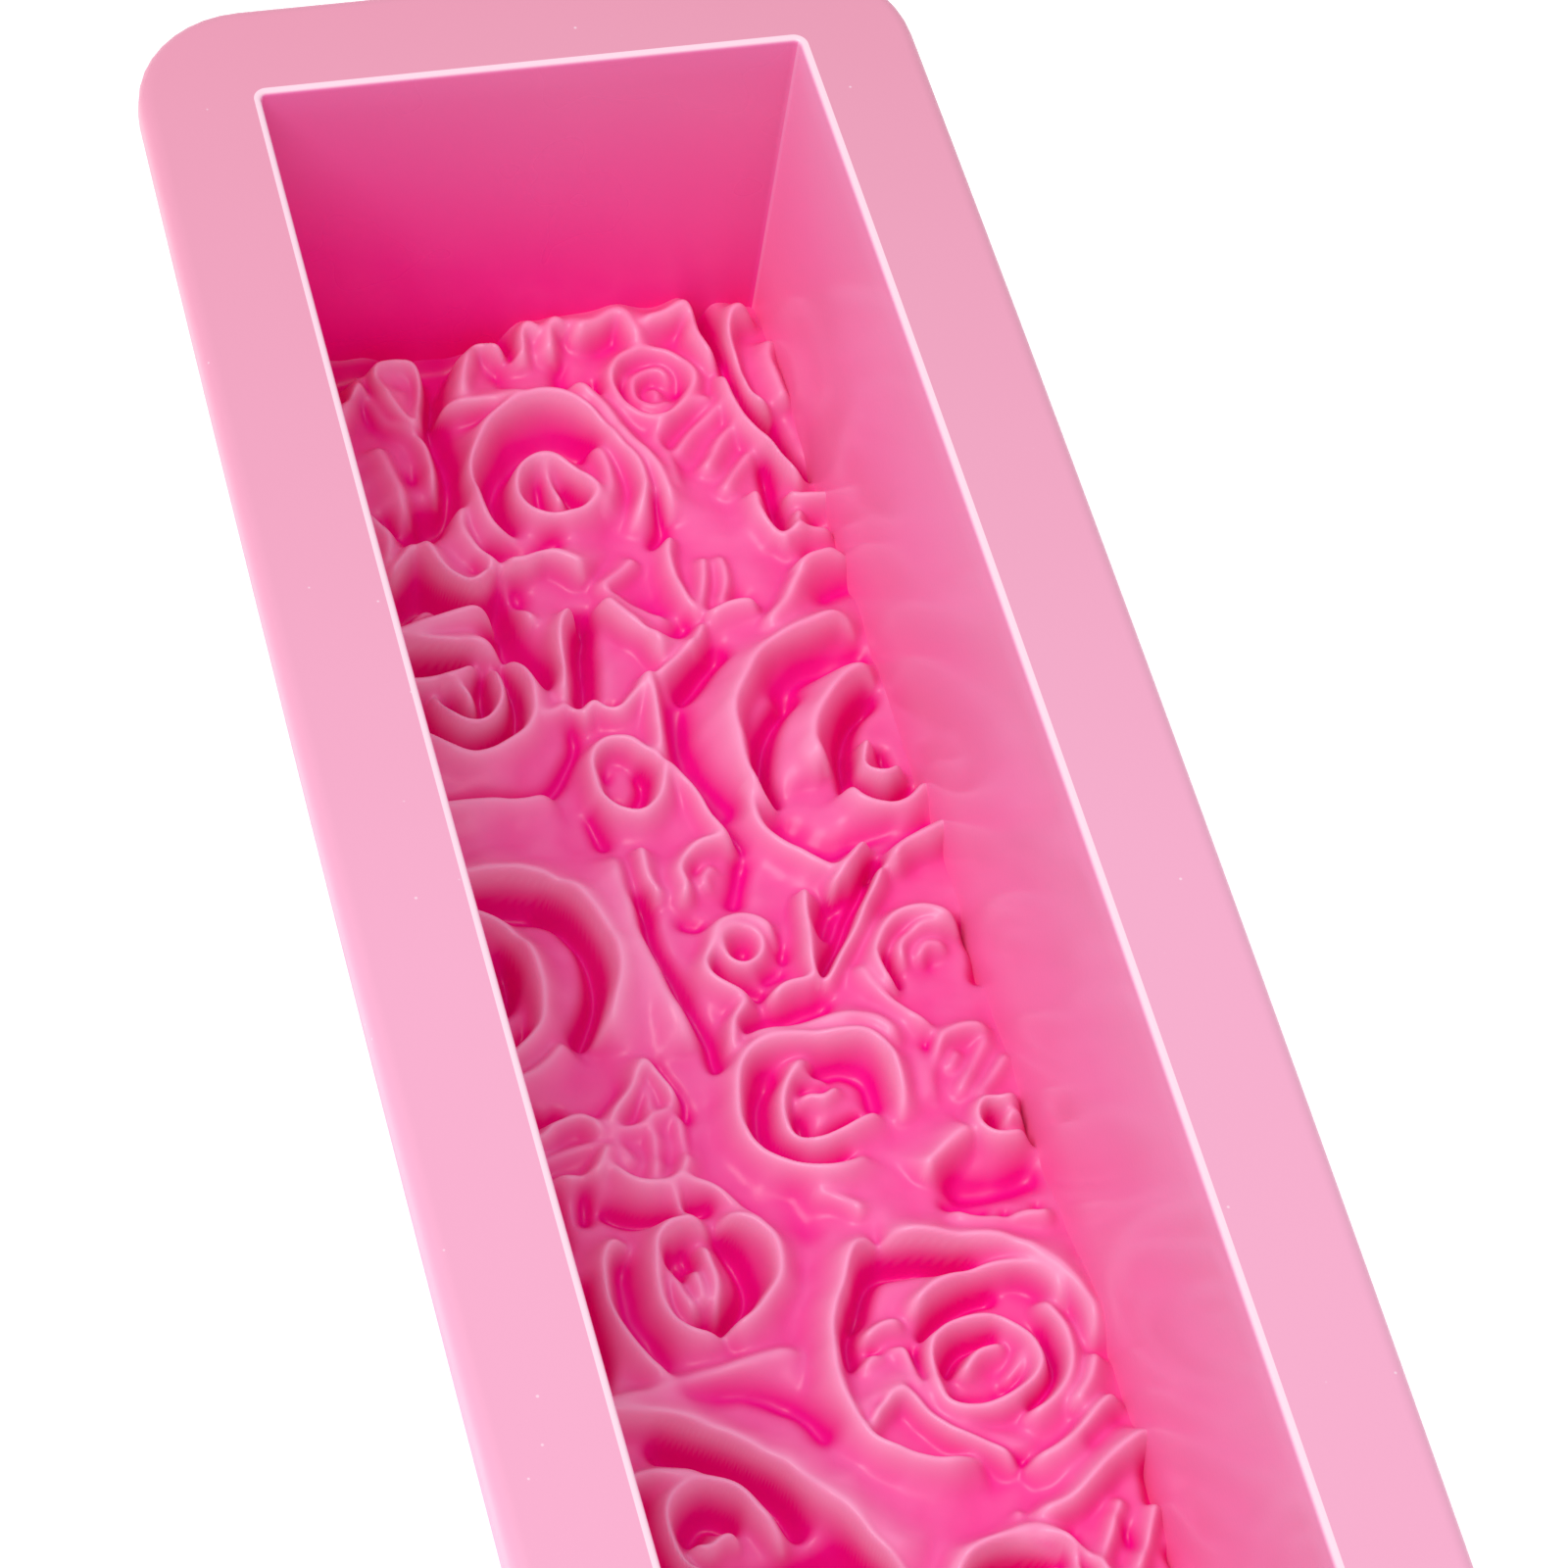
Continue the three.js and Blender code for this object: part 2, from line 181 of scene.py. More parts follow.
DRAWN["leaf_far_right"] = [
    (4.8, 0.8, 2, [(29.8, 93.6), (28, 97.8), (26.2, 100.6), (24.6, 103.8), (23.9, 108), (23.6, 112)]),
    (5, 0.8, 2.6, [(30.5, 120.4), (27.4, 119.4), (25.9, 116.6), (26.2, 112), (27, 107.6), (28.8, 105.2)]),
    (3, 0.8, 1.6, [(31.6, 117), (30.4, 112), (31, 106)]),
    (10, 1.3, [(24.3, 123.6), (24.4, 117.6), (25.6, 111.6), (26.8, 106), (28.6, 101.4), (30.6, 97)]),
    (9, 1.3, [(28.2, 105), (28.8, 101.6)]),
    (5.5, 0.9, [(26.4, 98), (25.8, 94.4), (25.8, 91), (25.2, 88.4)]),
]
DRAWN["leaf_wall_far"] = [
    (3.6, 0.7, 1.2, [(23.4, 93.4), (23, 89.4), (24.2, 85)]),
    (3.8, 0.8, 1.2, [(27, 92.7), (29.2, 91.8), (32.4, 91.4)]),
    (3.8, 0.8, 1.2, [(26.8, 85.6), (27.4, 88), (28.6, 90.2)]),
    (3.2, 0.8, 1.2, [(24, 84.6), (26.6, 86.2), (31.6, 86.6)]),
    (3.8, 0.9, 1.6, [(24.8, 80), (28, 82), (32.4, 81.6)]),
    (1.8, 1.2, [(30, 88.6)]),
    (1.8, 1, [(28, 84)]),
]
DRAWN["leaf_small_point"] = [
    (4.4, 0.8, 3.6, [(0.4, 83.9), (-1.8, 86.1), (-4, 87.1), (-6.2, 86), (-9.2, 86.2)]),
    (2.6, 0.7, 1, [(-9, 86), (-8.4, 82), (-6.8, 78.6)]),
    (9, 2.6, [(-9.6, 83), (-10.6, 79.4), (-9.4, 75), (-7.4, 71.6)]),
]
DRAWN["leaf_veined_far"] = [
    (2.6, 0.7, 1.4, [(7.6, 86), (4, 83.6), (1.4, 82)]),
    (2.6, 0.7, 1, [(2.2, 82.6), (4.8, 79.2), (9, 76.4)]),
    (3.6, 0.7, 1.1, [(12, 89.6), (10.8, 84.4), (11, 79.6), (12.2, 75.6)]),
    (3, 0.6, 0.9, [(15.2, 85), (13.6, 80), (12.4, 76)]),
    (2.6, 0.6, 0.9, [(17.2, 85), (16.9, 81), (15.4, 77.6)]),
    (3.6, 1, 1.8, [(19, 72.6), (22.6, 76), (26.4, 80.6), (31.6, 83.6)]),
    (3.6, 0.9, 1.6, [(12.8, 75.6), (16.4, 76.4), (20, 76.4)]),
    (3.2, 0.8, 1.2, [(12.6, 75.4), (11.4, 72.8), (10, 70.8)]),
    (2.8, 1.2, [(6, 74.4), (8.6, 74.6), (11.4, 76.4)]),
    (1.6, 2.6, [(6.6, 81), (8.4, 79)]),
    (1.4, 1.6, [(18.8, 79)]),
    (2, 2, [(28, 77.6), (31, 79)]),
]
DRAWN["rose_left_far"] = [
    (4, 0.7, 0.8, [(-16.3, 66.4), (-17, 68.4), (-18.4, 69.8), (-20, 69.6)]),
    (4.8, 0.7, 1.2, [(-21, 69.4), (-20.6, 66.4), (-18.6, 64.3), (-16.2, 64), (-14.2, 65.6), (-13.2, 68.4),
        (-13.4, 72.8)]),
    (4.8, 0.8, 2.4, [(-29, 70), (-27, 65.4), (-23.4, 62), (-20.8, 60), (-18, 59.2), (-15, 59.8),
        (-12, 61.8), (-10.4, 65), (-10.2, 69.2), (-11.6, 73.6)]),
    (4.4, 0.8, 1.6, [(-15.2, 73.4), (-16.8, 71.4), (-20, 70.4), (-28, 70.6)]),
    (4.2, 0.8, 2.4, [(-12, 73.4), (-14.8, 74.6), (-18.6, 75.8), (-23, 76.6), (-30, 77)]),
    (4.2, 0.8, 2.2, [(-11, 79.8), (-15, 79.3), (-19, 78.6), (-23.4, 77.6), (-30, 77)]),
    (3.2, 0.7, 0.9, [(-9.6, 63.8), (-7.4, 64.6), (-5.6, 66)]),
    (3.2, 0.8, 2.6, [(-30, 53.2), (-22, 52.6), (-14.4, 52.7), (-10.4, 54)]),
    (5.5, 1, [(-19, 67.6), (-18, 66.2), (-16.4, 66.2), (-14.9, 67.8), (-14.6, 71.4)]),
    (6.5, 1.2, [(-26, 70), (-22.8, 67.6), (-21.8, 64.6), (-19.6, 62.4), (-16, 62.2), (-12.8, 64.2),
        (-11.6, 68), (-12.3, 71.6)]),
    (9, 1.8, [(-30, 74), (-22, 74.4), (-17.4, 74)]),
    (10, 0.9, [(-30, 81), (-22, 81), (-15.6, 81.6)]),
    (3.6, 0.8, [(-5.4, 63.8), (-6.6, 59.8), (-9.6, 56), (-13.4, 54.4), (-22, 54), (-30, 54.6)]),
]
DRAWN["bud_tulip"] = [
    (4.6, 0.7, 1.2, [(-1.6, 79.2), (-3.6, 77.4), (-4.6, 74.6), (-5.4, 70.4), (-6, 66)]),
    (4.6, 0.8, 3.4, [(7, 70.2), (5.4, 73.2), (3.2, 75.4), (2, 78), (0.8, 80.2)]),
    (3.8, 0.6, 1, [(-6, 65.6), (-4.4, 63.6), (-3, 65.2), (-1.8, 64.2), (-0.6, 63.4), (1.4, 64.9),
        (2.8, 66.2), (4.4, 68.4)]),
    (8, 1.3, [(-1, 79.4), (-1.6, 76), (-2.4, 71.6), (-3.2, 67.6)]),
    (3, 0.8, [(-0.6, 65.2)]),
]
DRAWN["bud_centre"] = [
    (4.4, 0.7, 1.3, [(2.4, 54.8), (0.8, 56.8), (-0.8, 58.5), (-3, 58.9), (-4.9, 57), (-5.3, 53.4),
        (-4.6, 50), (-3, 48.4), (-1, 48.2), (0.9, 50), (2.1, 52.6), (2.4, 54.8)]),
    (2.2, 0.6, 0.8, [(2.4, 54.8), (0.8, 58.4), (-1.6, 60)]),
    (4.2, 1.2, 0.7, [(3, 55.4), (3.6, 60), (4.1, 64), (4.4, 68.4)]),
    (3.8, 1.2, 0.7, [(8, 42.6), (6.6, 46.4), (5.2, 51), (3, 55.4)]),
    (3.6, 0.9, [(-3.6, 51.6), (-1.6, 51), (0.4, 53.2), (0.6, 55)]),
    (1.6, 1, [(-3.6, 55.6)]),
    (3.4, 1, [(-6.4, 50), (-6, 46.4)]),
    (3, 0.7, [(5, 54), (6.4, 50.4), (8, 46.4), (9.4, 42.8)]),
]
DRAWN["rose_right_far"] = [
    (5, 0.9, 2.8, [(30.6, 70.6), (28.2, 72.1), (24, 71.2), (20, 69.5), (16.8, 67), (14.2, 63.6),
        (12.6, 59.6), (12, 55), (12.5, 50.6), (14.2, 47)]),
    (3.2, 0.9, 1.4, [(11, 50.4), (11.8, 45), (14.6, 40.6), (18, 37.7), (21.6, 37.6)]),
    (4.6, 0.9, 3.4, [(30.6, 63.8), (28.6, 64.2), (25.8, 62.4), (23.4, 60), (21.6, 57), (20.9, 54),
        (21.6, 51)]),
    (2.4, 0.6, 0.8, [(20.4, 55.6), (19.2, 54), (19.4, 52), (20.8, 50.8)]),
    (4.6, 0.7, 1.2, [(27.6, 55.4), (26.3, 53.4), (25.6, 50.6), (27.6, 49.2), (30.2, 50.6)]),
    (4.6, 0.7, 2, [(23.4, 49), (24.4, 46), (26.8, 44.6), (29.6, 45.2), (32.2, 47.6)]),
    (3.2, 0.8, 1.4, [(4.6, 66.8), (8.4, 70), (11, 72.6)]),
    (7, 1.3, [(14.2, 49.6), (14.2, 53.6), (15.6, 57.8), (18, 61.4), (20.6, 64)]),
    (4.4, 2, [(20, 64.6), (24, 67.4), (30, 68.4)]),
    (7.5, 1.1, [(29.4, 62.4), (27, 60.6), (25.2, 57), (24.4, 52.6), (24.2, 50)]),
    (6, 0.9, [(24.9, 49.4), (26, 47.6), (28, 47), (30.6, 48.4)]),
    (4.4, 0.7, [(28.6, 54.4), (28.8, 52.6)]),
    (6, 1.6, [(13.4, 71), (10.6, 69), (8, 66.2)]),
    (4, 2, [(6.6, 63.4), (6, 58.6), (7, 53.6), (9, 49)]),
    (2.4, 2, [(15, 45.4), (19, 41.6), (26, 42.4)]),
]
DRAWN["blossom_far"] = [
    (3.6, 0.7, 1.1, [(8, 41.8), (6.6, 43.1), (3.4, 42.5), (1.2, 39.8), (1.4, 37.4), (0.2, 35.6)]),
    (3.4, 0.7, 1.2, [(-2.2, 36.4), (-2.9, 40), (-2.7, 44.4)]),
    (2, 0.6, 0.8, [(5.4, 40.8), (4, 39.4), (4, 37.4)]),
    (3.6, 1.3, [(8.6, 41), (7.6, 38.6), (6.8, 36.4)]),
    (1.8, 0.8, [(3, 40.6)]),
    (2.6, 1, [(0.2, 33.8), (2, 33)]),
]
DRAWN["ribbon_centre"] = [
    (3, 1.2, 3.4, [(-5.8, 44), (-6, 37), (-5.8, 30), (-4.6, 23), (-3.4, 16)]),
    (5.5, 1, [(-3.6, 37.6), (-3.9, 32.6), (-3.2, 28), (-2.2, 24)]),
    (4.4, 0.9, [(-1.9, 23.4), (-1.2, 18.6), (-0.6, 14)]),
]
DRAWN["blossom_centre"] = [
    (3.8, 0.6, 0.8, [(8.2, 28.6), (7.4, 30.6), (5.4, 31.2), (3.7, 30), (3.6, 27.6), (5.2, 26.2),
        (7.2, 26.8), (8.2, 28.6)]),
    (3.8, 0.7, 1.1, [(9.9, 28.4), (9.2, 31), (6.6, 32.6), (3.6, 31.6), (2, 28.6), (0.8, 25.6), (2.8, 23),
        (5.4, 21.8)]),
    (3.6, 0.7, 1, [(6.8, 21.4), (9.4, 22.6), (12.4, 23)]),
    (3.6, 0.8, [(2.2, 27.2), (3.2, 25.2), (5.2, 23.9), (6.6, 23)]),
    (3, 0.6, [(10.4, 30.6), (10.4, 27.4)]),
    (2.2, 0.8, [(5.9, 28.8)]),
    (2.2, 0.9, [(7.6, 25), (9.6, 25.6)]),
]
DRAWN["leaf_pair_upper"] = [
    (4.6, 0.8, 1.2, [(12.9, 22), (12.5, 25.4), (13.2, 30), (14.4, 35.4)]),
    (4.6, 0.8, 2, [(24.2, 37), (21.8, 33.4), (18.4, 28.4), (15.6, 24.6), (13.4, 21.8)]),
    (4.8, 0.8, 1.2, [(23.4, 40.2), (20.4, 37.4), (17.4, 34.4)]),
    (9, 1.1, [(14, 23.6), (15.6, 26.6), (18.4, 30.6), (21.2, 34.6), (23.6, 38)]),
    (5, 1.4, [(15.8, 31), (18.6, 34.6)]),
]
DRAWN["leaf_wall_middle"] = [
    (4.8, 0.8, 2.6, [(33, 40.8), (30.6, 39.4), (27.4, 38), (24.6, 35.8)]),
    (3.2, 1, [(25, 39.4), (28, 41), (31, 42.4)]),
]
DRAWN["rose_left_middle"] = [
    (4.8, 0.8, 2.2, [(-25, 17.4), (-21.4, 19.4), (-19, 22.8), (-18, 26.6), (-18.2, 30.2), (-19.6, 33.6),
        (-22.2, 36.2), (-26, 37.4), (-30, 36)]),
    (5, 0.9, 3.4, [(-13.6, 18.8), (-11.2, 22.2), (-9.7, 26.2), (-9.4, 30.2), (-10.3, 34.6), (-12.4, 38.4),
        (-16, 41), (-22, 41.8), (-30, 41)]),
    (3.4, 0.9, 2.4, [(-30, 13.6), (-24, 14.4), (-19.6, 16.4), (-16.4, 19.6)]),
    (3.6, 0.7, 1, [(-24.6, 24), (-23.4, 27.6), (-24.4, 31)]),
    (7.5, 1.4, [(-24, 25.6), (-21.6, 27.8), (-20.4, 30.6), (-20.2, 33)]),
    (7, 1.3, [(-14.6, 21.2), (-12.2, 24.6), (-11.2, 28.4), (-11.2, 32.6), (-12.6, 36.4), (-15, 39)]),
    (5, 1.8, [(-14.4, 38.8), (-18.6, 39.6), (-24, 39.6)]),
    (5.5, 1, [(-26, 19), (-22.4, 20), (-20, 22)]),
]
DRAWN["rose_centre"] = [
    (4.6, 0.8, 1.8, [(17.4, 2.6), (18, 6.6), (17.4, 10.8), (15.6, 13.4), (12, 14.1), (7, 14.6), (3, 13.8),
        (0.8, 11), (-0.3, 7), (0, 3), (1.8, 0), (4.5, -2.1), (8, -2.9), (10.8, -1.9), (12.2, -0.4)]),
    (4, 0.7, 1.4, [(9.4, 12.8), (6.8, 10.6), (4.8, 7.6), (4.5, 4.2), (5.6, 2), (7.8, 1.2), (10.8, 2.2),
        (15, 4.6)]),
    (3, 0.5, 0.7, [(6.4, 7.2), (8.2, 7.8), (9.8, 7), (11.8, 8.6)]),
    (2.8, 0.5, 0.7, [(6.8, 9.8), (8.6, 10.6), (11, 10)]),
    (3.4, 0.8, 1.6, [(19.8, 12.6), (17.6, 15.4), (13, 16.5), (7, 16.2), (2.4, 16)]),
    (3.4, 0.8, 1.2, [(0.8, 14.6), (2, 18.6), (4.6, 22)]),
    (4.2, 1.5, [(4.4, 0.8), (2.6, 4), (2.5, 8), (4.4, 11.2)]),
    (3.4, 1.3, [(9.6, 10.8), (12.6, 11.6), (15, 9.4), (15, 6.4)]),
    (3, 0.8, [(5, 0), (7.6, -0.8), (10.4, -0.4)]),
    (4.4, 0.8, [(6.6, 5.8), (7, 3.8), (9, 3.2), (13, 4.8)]),
    (3, 0.7, [(7.6, 9.4)]),
    (3, 0.7, [(10.4, 9.2)]),
    (3.4, 1.4, [(3.8, 18.4), (7, 19.4), (13, 20)]),
    (1.6, 2, [(3, -4), (3.6, -8.6)]),
]
DRAWN["small_rose_right"] = [
    (4.2, 0.7, 1.4, [(30.4, 26.6), (28, 29.3), (24.5, 29.6), (21.5, 27.5), (20.2, 24), (21, 19.6)]),
    (3.4, 0.6, 0.9, [(29.4, 27.2), (26.4, 27.8), (23.6, 26), (23.2, 23.4)]),
    (2.6, 0.5, 0.8, [(28.4, 25.2), (26.4, 25.6), (25.2, 23.8)]),
    (3, 0.7, 1, [(17.9, 24.4), (18.9, 20.2), (21.4, 16.6), (24.2, 14)]),
    (4.6, 0.7, [(21.4, 25), (21.9, 22)]),
    (5, 0.8, [(31.6, 28.8), (32, 25), (31.4, 21.6)]),
    (1.6, 0.7, [(26, 24)]),
    (1.4, 0.7, [(24.6, 27.4)]),
]
DRAWN["leaf_right_middle"] = [
    (3, 0.8, 1.4, [(30.8, 13.4), (27, 13.4), (23.8, 12), (22.2, 8.4), (21.6, 4.4)]),
    (2, 0.5, 0.8, [(24.4, 5.4), (27.8, 9.8), (30, 12.6)]),
    (2, 0.5, 0.8, [(24, 8.6), (26, 11.2)]),
    (2, 0.5, 0.8, [(26.4, 4.8), (29, 7.4), (31.4, 10)]),
    (4.2, 0.7, [(23, 12.8), (22.4, 9), (21.8, 5.4)]),
]
DRAWN["blossom_right"] = [
    (4.2, 0.6, 1, [(31.2, 3.8), (29, 3.2), (26.9, 3.4), (25.6, 1.2), (26.6, -1), (29, -1.5),
        (30.6, -0.6)]),
    (3.4, 0.5, 0.7, [(28.4, 0.4), (29.4, 1.8), (31, 1.6)]),
    (5, 0.6, [(27.4, 2.6), (27.1, 1)]),
    (4.6, 0.6, [(32, 3.6), (31.7, -1)]),
]
DRAWN["leaf_right_low"] = [
    (3.8, 1, 2.4, [(25, 0), (21, -2), (17.4, -4.8)]),
    (3, 0.8, 1.4, [(19, -9.8), (23, -11.2), (30.8, -11.6)]),
    (2.4, 0.8, 1.4, [(9.8, -9), (7.8, -6.4), (5, -4.8)]),
    (4.2, 2.4, [(22, -5.6), (26, -6), (29.6, -5.4)]),
    (3, 0.8, [(19.6, -7.8), (23.6, -8.8)]),
    (3, 0.6, [(25.8, -9.6), (25.4, -11)]),
    (3, 0.6, [(29.6, -9.6), (29.2, -11)]),
    (2.6, 0.5, [(10.6, -12)]),
]
DRAWN["leaf_veined_left"] = [
    (3.6, 0.7, 1.4, [(-6.4, 8.4), (-7.6, 11.6), (-9.2, 14.2), (-11.8, 11), (-14.8, 6.8)]),
    (2.8, 0.5, 0.8, [(-14.8, 6.6), (-11, 7), (-7, 8.8)]),
    (3.2, 0.7, 1.2, [(-16.4, 2.4), (-13.4, -1.2), (-9.6, -1.2), (-7.8, 1.4), (-6.4, 8.4)]),
    (2.4, 0.5, 0.7, [(-11.6, -1), (-10.4, 5), (-9.4, 13)]),
    (2, 0.5, 0.7, [(-13.4, 1.4), (-14.6, 6.6)]),
    (4, 0.8, [(-7.6, 15), (-5.6, 9.8), (-7.2, 3)]),
    (1.6, 1.4, [(-10.4, 3)]),
    (1.6, 1.2, [(-12.6, 12.6), (-15.4, 9.6)]),
]
DRAWN["leaf_wall_left"] = [
    (3.4, 0.7, 1.4, [(-15.2, 5.6), (-17.4, 8.6), (-20.6, 8.3), (-23, 6.4), (-28, 6)]),
    (3.2, 0.7, 1.2, [(-28, 1), (-22, 1.8), (-18, 1.2), (-15, 5.2)]),
    (2, 0.5, 0.8, [(-26, 3.6), (-20, 5), (-15.4, 5.4)]),
    (2.8, 0.8, 1.2, [(-29, 11), (-25, -2), (-28, -10)]),
    (5, 0.9, [(-24.4, 11.6), (-21.4, 10.2), (-19.8, 10.6)]),
    (4.8, 0.9, [(-19, 0.4), (-19.8, -3)]),
    (5, 1, [(-22.8, 2), (-23, -5.6)]),
]
DRAWN["rose_left_centre"] = [
    (4.8, 0.9, 1.8, [(-9, -21), (-5, -19.2), (-2, -16.4), (-0.8, -13), (-1.2, -10), (-3.4, -7.8),
        (-6.6, -7)]),
    (4.6, 0.8, 1.6, [(-7.4, -8.4), (-10, -7.4), (-12.6, -8.6), (-14, -12), (-14.4, -16), (-13.6, -19.4),
        (-11.4, -21.4), (-8.6, -20.8)]),
    (4.2, 0.8, 1.6, [(-16, -7.6), (-18.8, -9), (-20.2, -13), (-19.8, -18), (-18.2, -22.6),
        (-15.6, -26.4)]),
    (3.4, 0.6, 0.8, [(-9, -18.6), (-8.3, -14), (-8.6, -9.4)]),
    (3.4, 0.5, 0.8, [(-12.4, -11.4), (-12, -15), (-10.8, -18)]),
    (3.2, 0.5, 0.7, [(-10.2, -12.2), (-9.9, -17)]),
    (3.2, 0.8, 1.4, [(-9.4, -0.8), (-5.4, -2.8), (-2.8, -5.6), (-1, -9)]),
    (3, 0.6, 0.8, [(-9.8, -1.4), (-9.6, -6.4)]),
    (6, 1.3, [(-5.6, -8.4), (-4.4, -11.6), (-4.6, -14.6), (-6.4, -17.4), (-9.6, -19.2)]),
    (5.5, 0.8, [(-12.2, -9.6), (-11.6, -12.4)]),
    (4, 0.7, [(-10.6, -9.6), (-10, -11)]),
    (2.6, 1.8, [(-17.2, -10.6), (-17.2, -16), (-15.8, -22)]),
    (5.6, 1.1, [(-17.4, -2.6), (-14, -4.2), (-10.8, -5)]),
    (4.8, 0.9, [(-8.6, -4.4), (-6.4, -4)]),
    (8, 0.9, [(-22, -11.4), (-21.8, -16), (-22.4, -22), (-24, -26)]),
]
DRAWN["ribbon_near"] = [
    (3, 1.6, 3, [(-30, -29.4), (-22, -28.2), (-14, -26.4), (-6, -24.8), (-0.6, -24.4)]),
    (4.6, 0.9, 4, [(3.4, -54), (0.4, -49.4), (-2.6, -44.4), (-6, -39.8), (-10, -35.8), (-15, -32.7),
        (-20, -30.8), (-30, -29.6)]),
    (3, 1.6, [(-14, -27), (-8, -28), (-3.4, -30.4), (-1, -34.4)]),
]
DRAWN["rose_left_near"] = [
    (4.6, 0.8, 1.6, [(-8.6, -47.4), (-10.8, -43.6), (-12.8, -40.6), (-16, -39.2), (-19.4, -40.6),
        (-20.9, -44), (-20, -48), (-16.6, -50.6), (-12, -50)]),
    (3.8, 0.8, 1.6, [(-14.6, -38), (-18, -38), (-22.4, -37.4), (-28, -40), (-30, -47)]),
    (4, 0.6, 0.9, [(-13.4, -46.2), (-15.2, -46), (-17.2, -47.2), (-19, -46.2)]),
    (7.5, 1.6, [(-18.6, -33.2), (-14.6, -34.6), (-10.6, -37.2), (-7.6, -40.4), (-6.6, -44)]),
    (6, 1.4, [(-18, -43.4), (-16, -41.6), (-13.8, -42.8)]),
    (6.5, 1.1, [(-22.4, -39.6), (-22.4, -44.6), (-20.6, -49)]),
    (10, 3, [(-17, -54), (-10, -51), (-5, -49.6), (-1.6, -50.6), (0.6, -55)]),
]
DRAWN["rose_right_centre"] = [
    (4.8, 0.8, 2, [(10.6, -12.4), (7.2, -14), (5, -17.5), (3, -22), (1.9, -27), (1.5, -31), (1.8, -34.6),
        (3.6, -37.8), (6.6, -40), (10.6, -41.1), (15, -40.8)]),
    (4.8, 0.9, 2.8, [(30, -30), (30.2, -25), (28.9, -20.6), (26, -17), (22, -15), (18, -14.2), (14, -13.4),
        (10.6, -12.6)]),
    (4.4, 0.7, 1.3, [(28.4, -24.6), (27.4, -20.6), (25, -18.4), (21, -18.3), (17, -19), (14, -20.1),
        (11.4, -22)]),
    (4.4, 0.7, 1.2, [(24, -28.4), (23.6, -31.4), (21, -34), (17, -35.3), (13.4, -34.2), (11.8, -31),
        (12, -27.2), (14, -25), (17, -24), (20, -24.2), (22.6, -26), (24, -28.4)]),
    (3.8, 0.7, 1.3, [(20, -36.8), (23.6, -35.6), (26.4, -32), (27.4, -27.6), (25.6, -22.6)]),
    (3.6, 0.6, 0.9, [(15.2, -30.2), (17.6, -27.8), (20.8, -27.2)]),
    (2.6, 0.6, 0.9, [(19.4, -31.8), (21.4, -30), (22.4, -28.2)]),
    (4, 0.8, 1.6, [(19, -42.6), (23, -41.4), (27, -39), (30.8, -35.8)]),
    (3.6, 0.8, 1.4, [(25.4, -37.2), (28, -34), (30, -30.4)]),
    (4, 0.6, 3, [(18.2, -42.2), (16.4, -40.4), (12.6, -37.8), (9.8, -35), (8, -32.4), (5.6, -33.6),
        (3, -36.6)]),
    (2.8, 0.6, 0.9, [(5.4, -24.4), (8, -23), (10.8, -22.6)]),
    (2.6, 0.6, 0.9, [(4.2, -28), (6.8, -26.6), (9.8, -26)]),
    (3, 0.6, 0.8, [(10.2, -31.4), (9.6, -28), (10, -25.4)]),
    (6.5, 1.5, [(5.6, -20), (7.4, -16.8), (9.8, -15), (14, -15.2), (19, -15.8)]),
    (4.4, 1, [(4, -26.4), (4.4, -22.6), (6, -19.4)]),
    (5, 0.8, [(13, -24), (15, -21.8), (18.4, -20.4), (21, -20.2)]),
    (5, 0.8, [(14, -28.4), (16, -26.2), (19.6, -25.4)]),
    (4, 0.8, [(10.9, -30), (11.1, -26)]),
    (3.4, 0.7, [(6.4, -25.6), (7.8, -26.4)]),
    (2.6, 0.8, [(14, -32.6), (18, -33.2), (21, -31.4)]),
    (2.8, 0.8, [(25.6, -26), (25, -31), (21.6, -35)]),
    (3.4, 0.6, [(8.9, -31.4), (10.4, -34), (13.4, -37), (17.2, -39.4), (19.2, -41.2)]),
    (3, 0.7, [(3.2, -35), (5.2, -32.8)]),
    (2.4, 1.4, [(26.4, -40.8), (30, -38.4)]),
]
DRAWN["leaf_right_near"] = [
    (4.8, 0.8, 2.2, [(33, -41.8), (29, -44), (25.4, -46.3), (22, -48.4), (19.4, -49), (17.6, -48.4)]),
    (3.4, 0.6, 1, [(28, -48), (25, -53), (22, -59)]),
    (3.2, 0.6, 1, [(31.6, -49), (30, -52.4), (27, -57.6)]),
    (3, 0.6, 0.8, [(16.4, -47.4), (17.2, -48)]),
    (4.6, 0.7, [(31.6, -44.4), (31.4, -49)]),
    (4.6, 0.6, [(31.9, -54.4), (32.4, -56.6)]),
    (3, 0.9, [(21.4, -51.4), (22, -55.6)]),
    (2.2, 0.8, [(26.6, -49.6), (28.6, -54)]),
]
DRAWN["rose_right_near"] = [
    (4.4, 0.8, 2, [(20.6, -60), (20.4, -55), (18.9, -51.6), (17, -50.7), (12, -52), (7.4, -53.5)]),
    (6, 1.5, [(9, -54.6), (13, -54), (17.8, -53.4)]),
    (3.6, 0.9, [(20.6, -54.4), (21.4, -58)]),
]
# The flowers at the near end repeat one form, each turned by its own angle in degrees.
PLAIN_ROSES = {
    "rose_right_near": 80,
    "rose_left_end": 25,
    "rose_right_end": 60,
    "rose_near": 5,
    "small_rose_near": 50,
}
PLAIN_LEAVES = {
    "leaf_between_near": 60,
    "leaf_wall_near": 120,
    "leaf_left_end": 70,
    "leaf_end_near": 15,
}
# Rings of petals: how many, their share of the rose's radius, the sweep of each in degrees, the height.
PETAL_RINGS = [(3, 0.5, 150, 4.4), (4, 0.82, 125, 4.2)]
LOOSE_PETALS = (5, 1.12, 90, 3.8)  # these lean out over the ground


# ---- Relief field ----


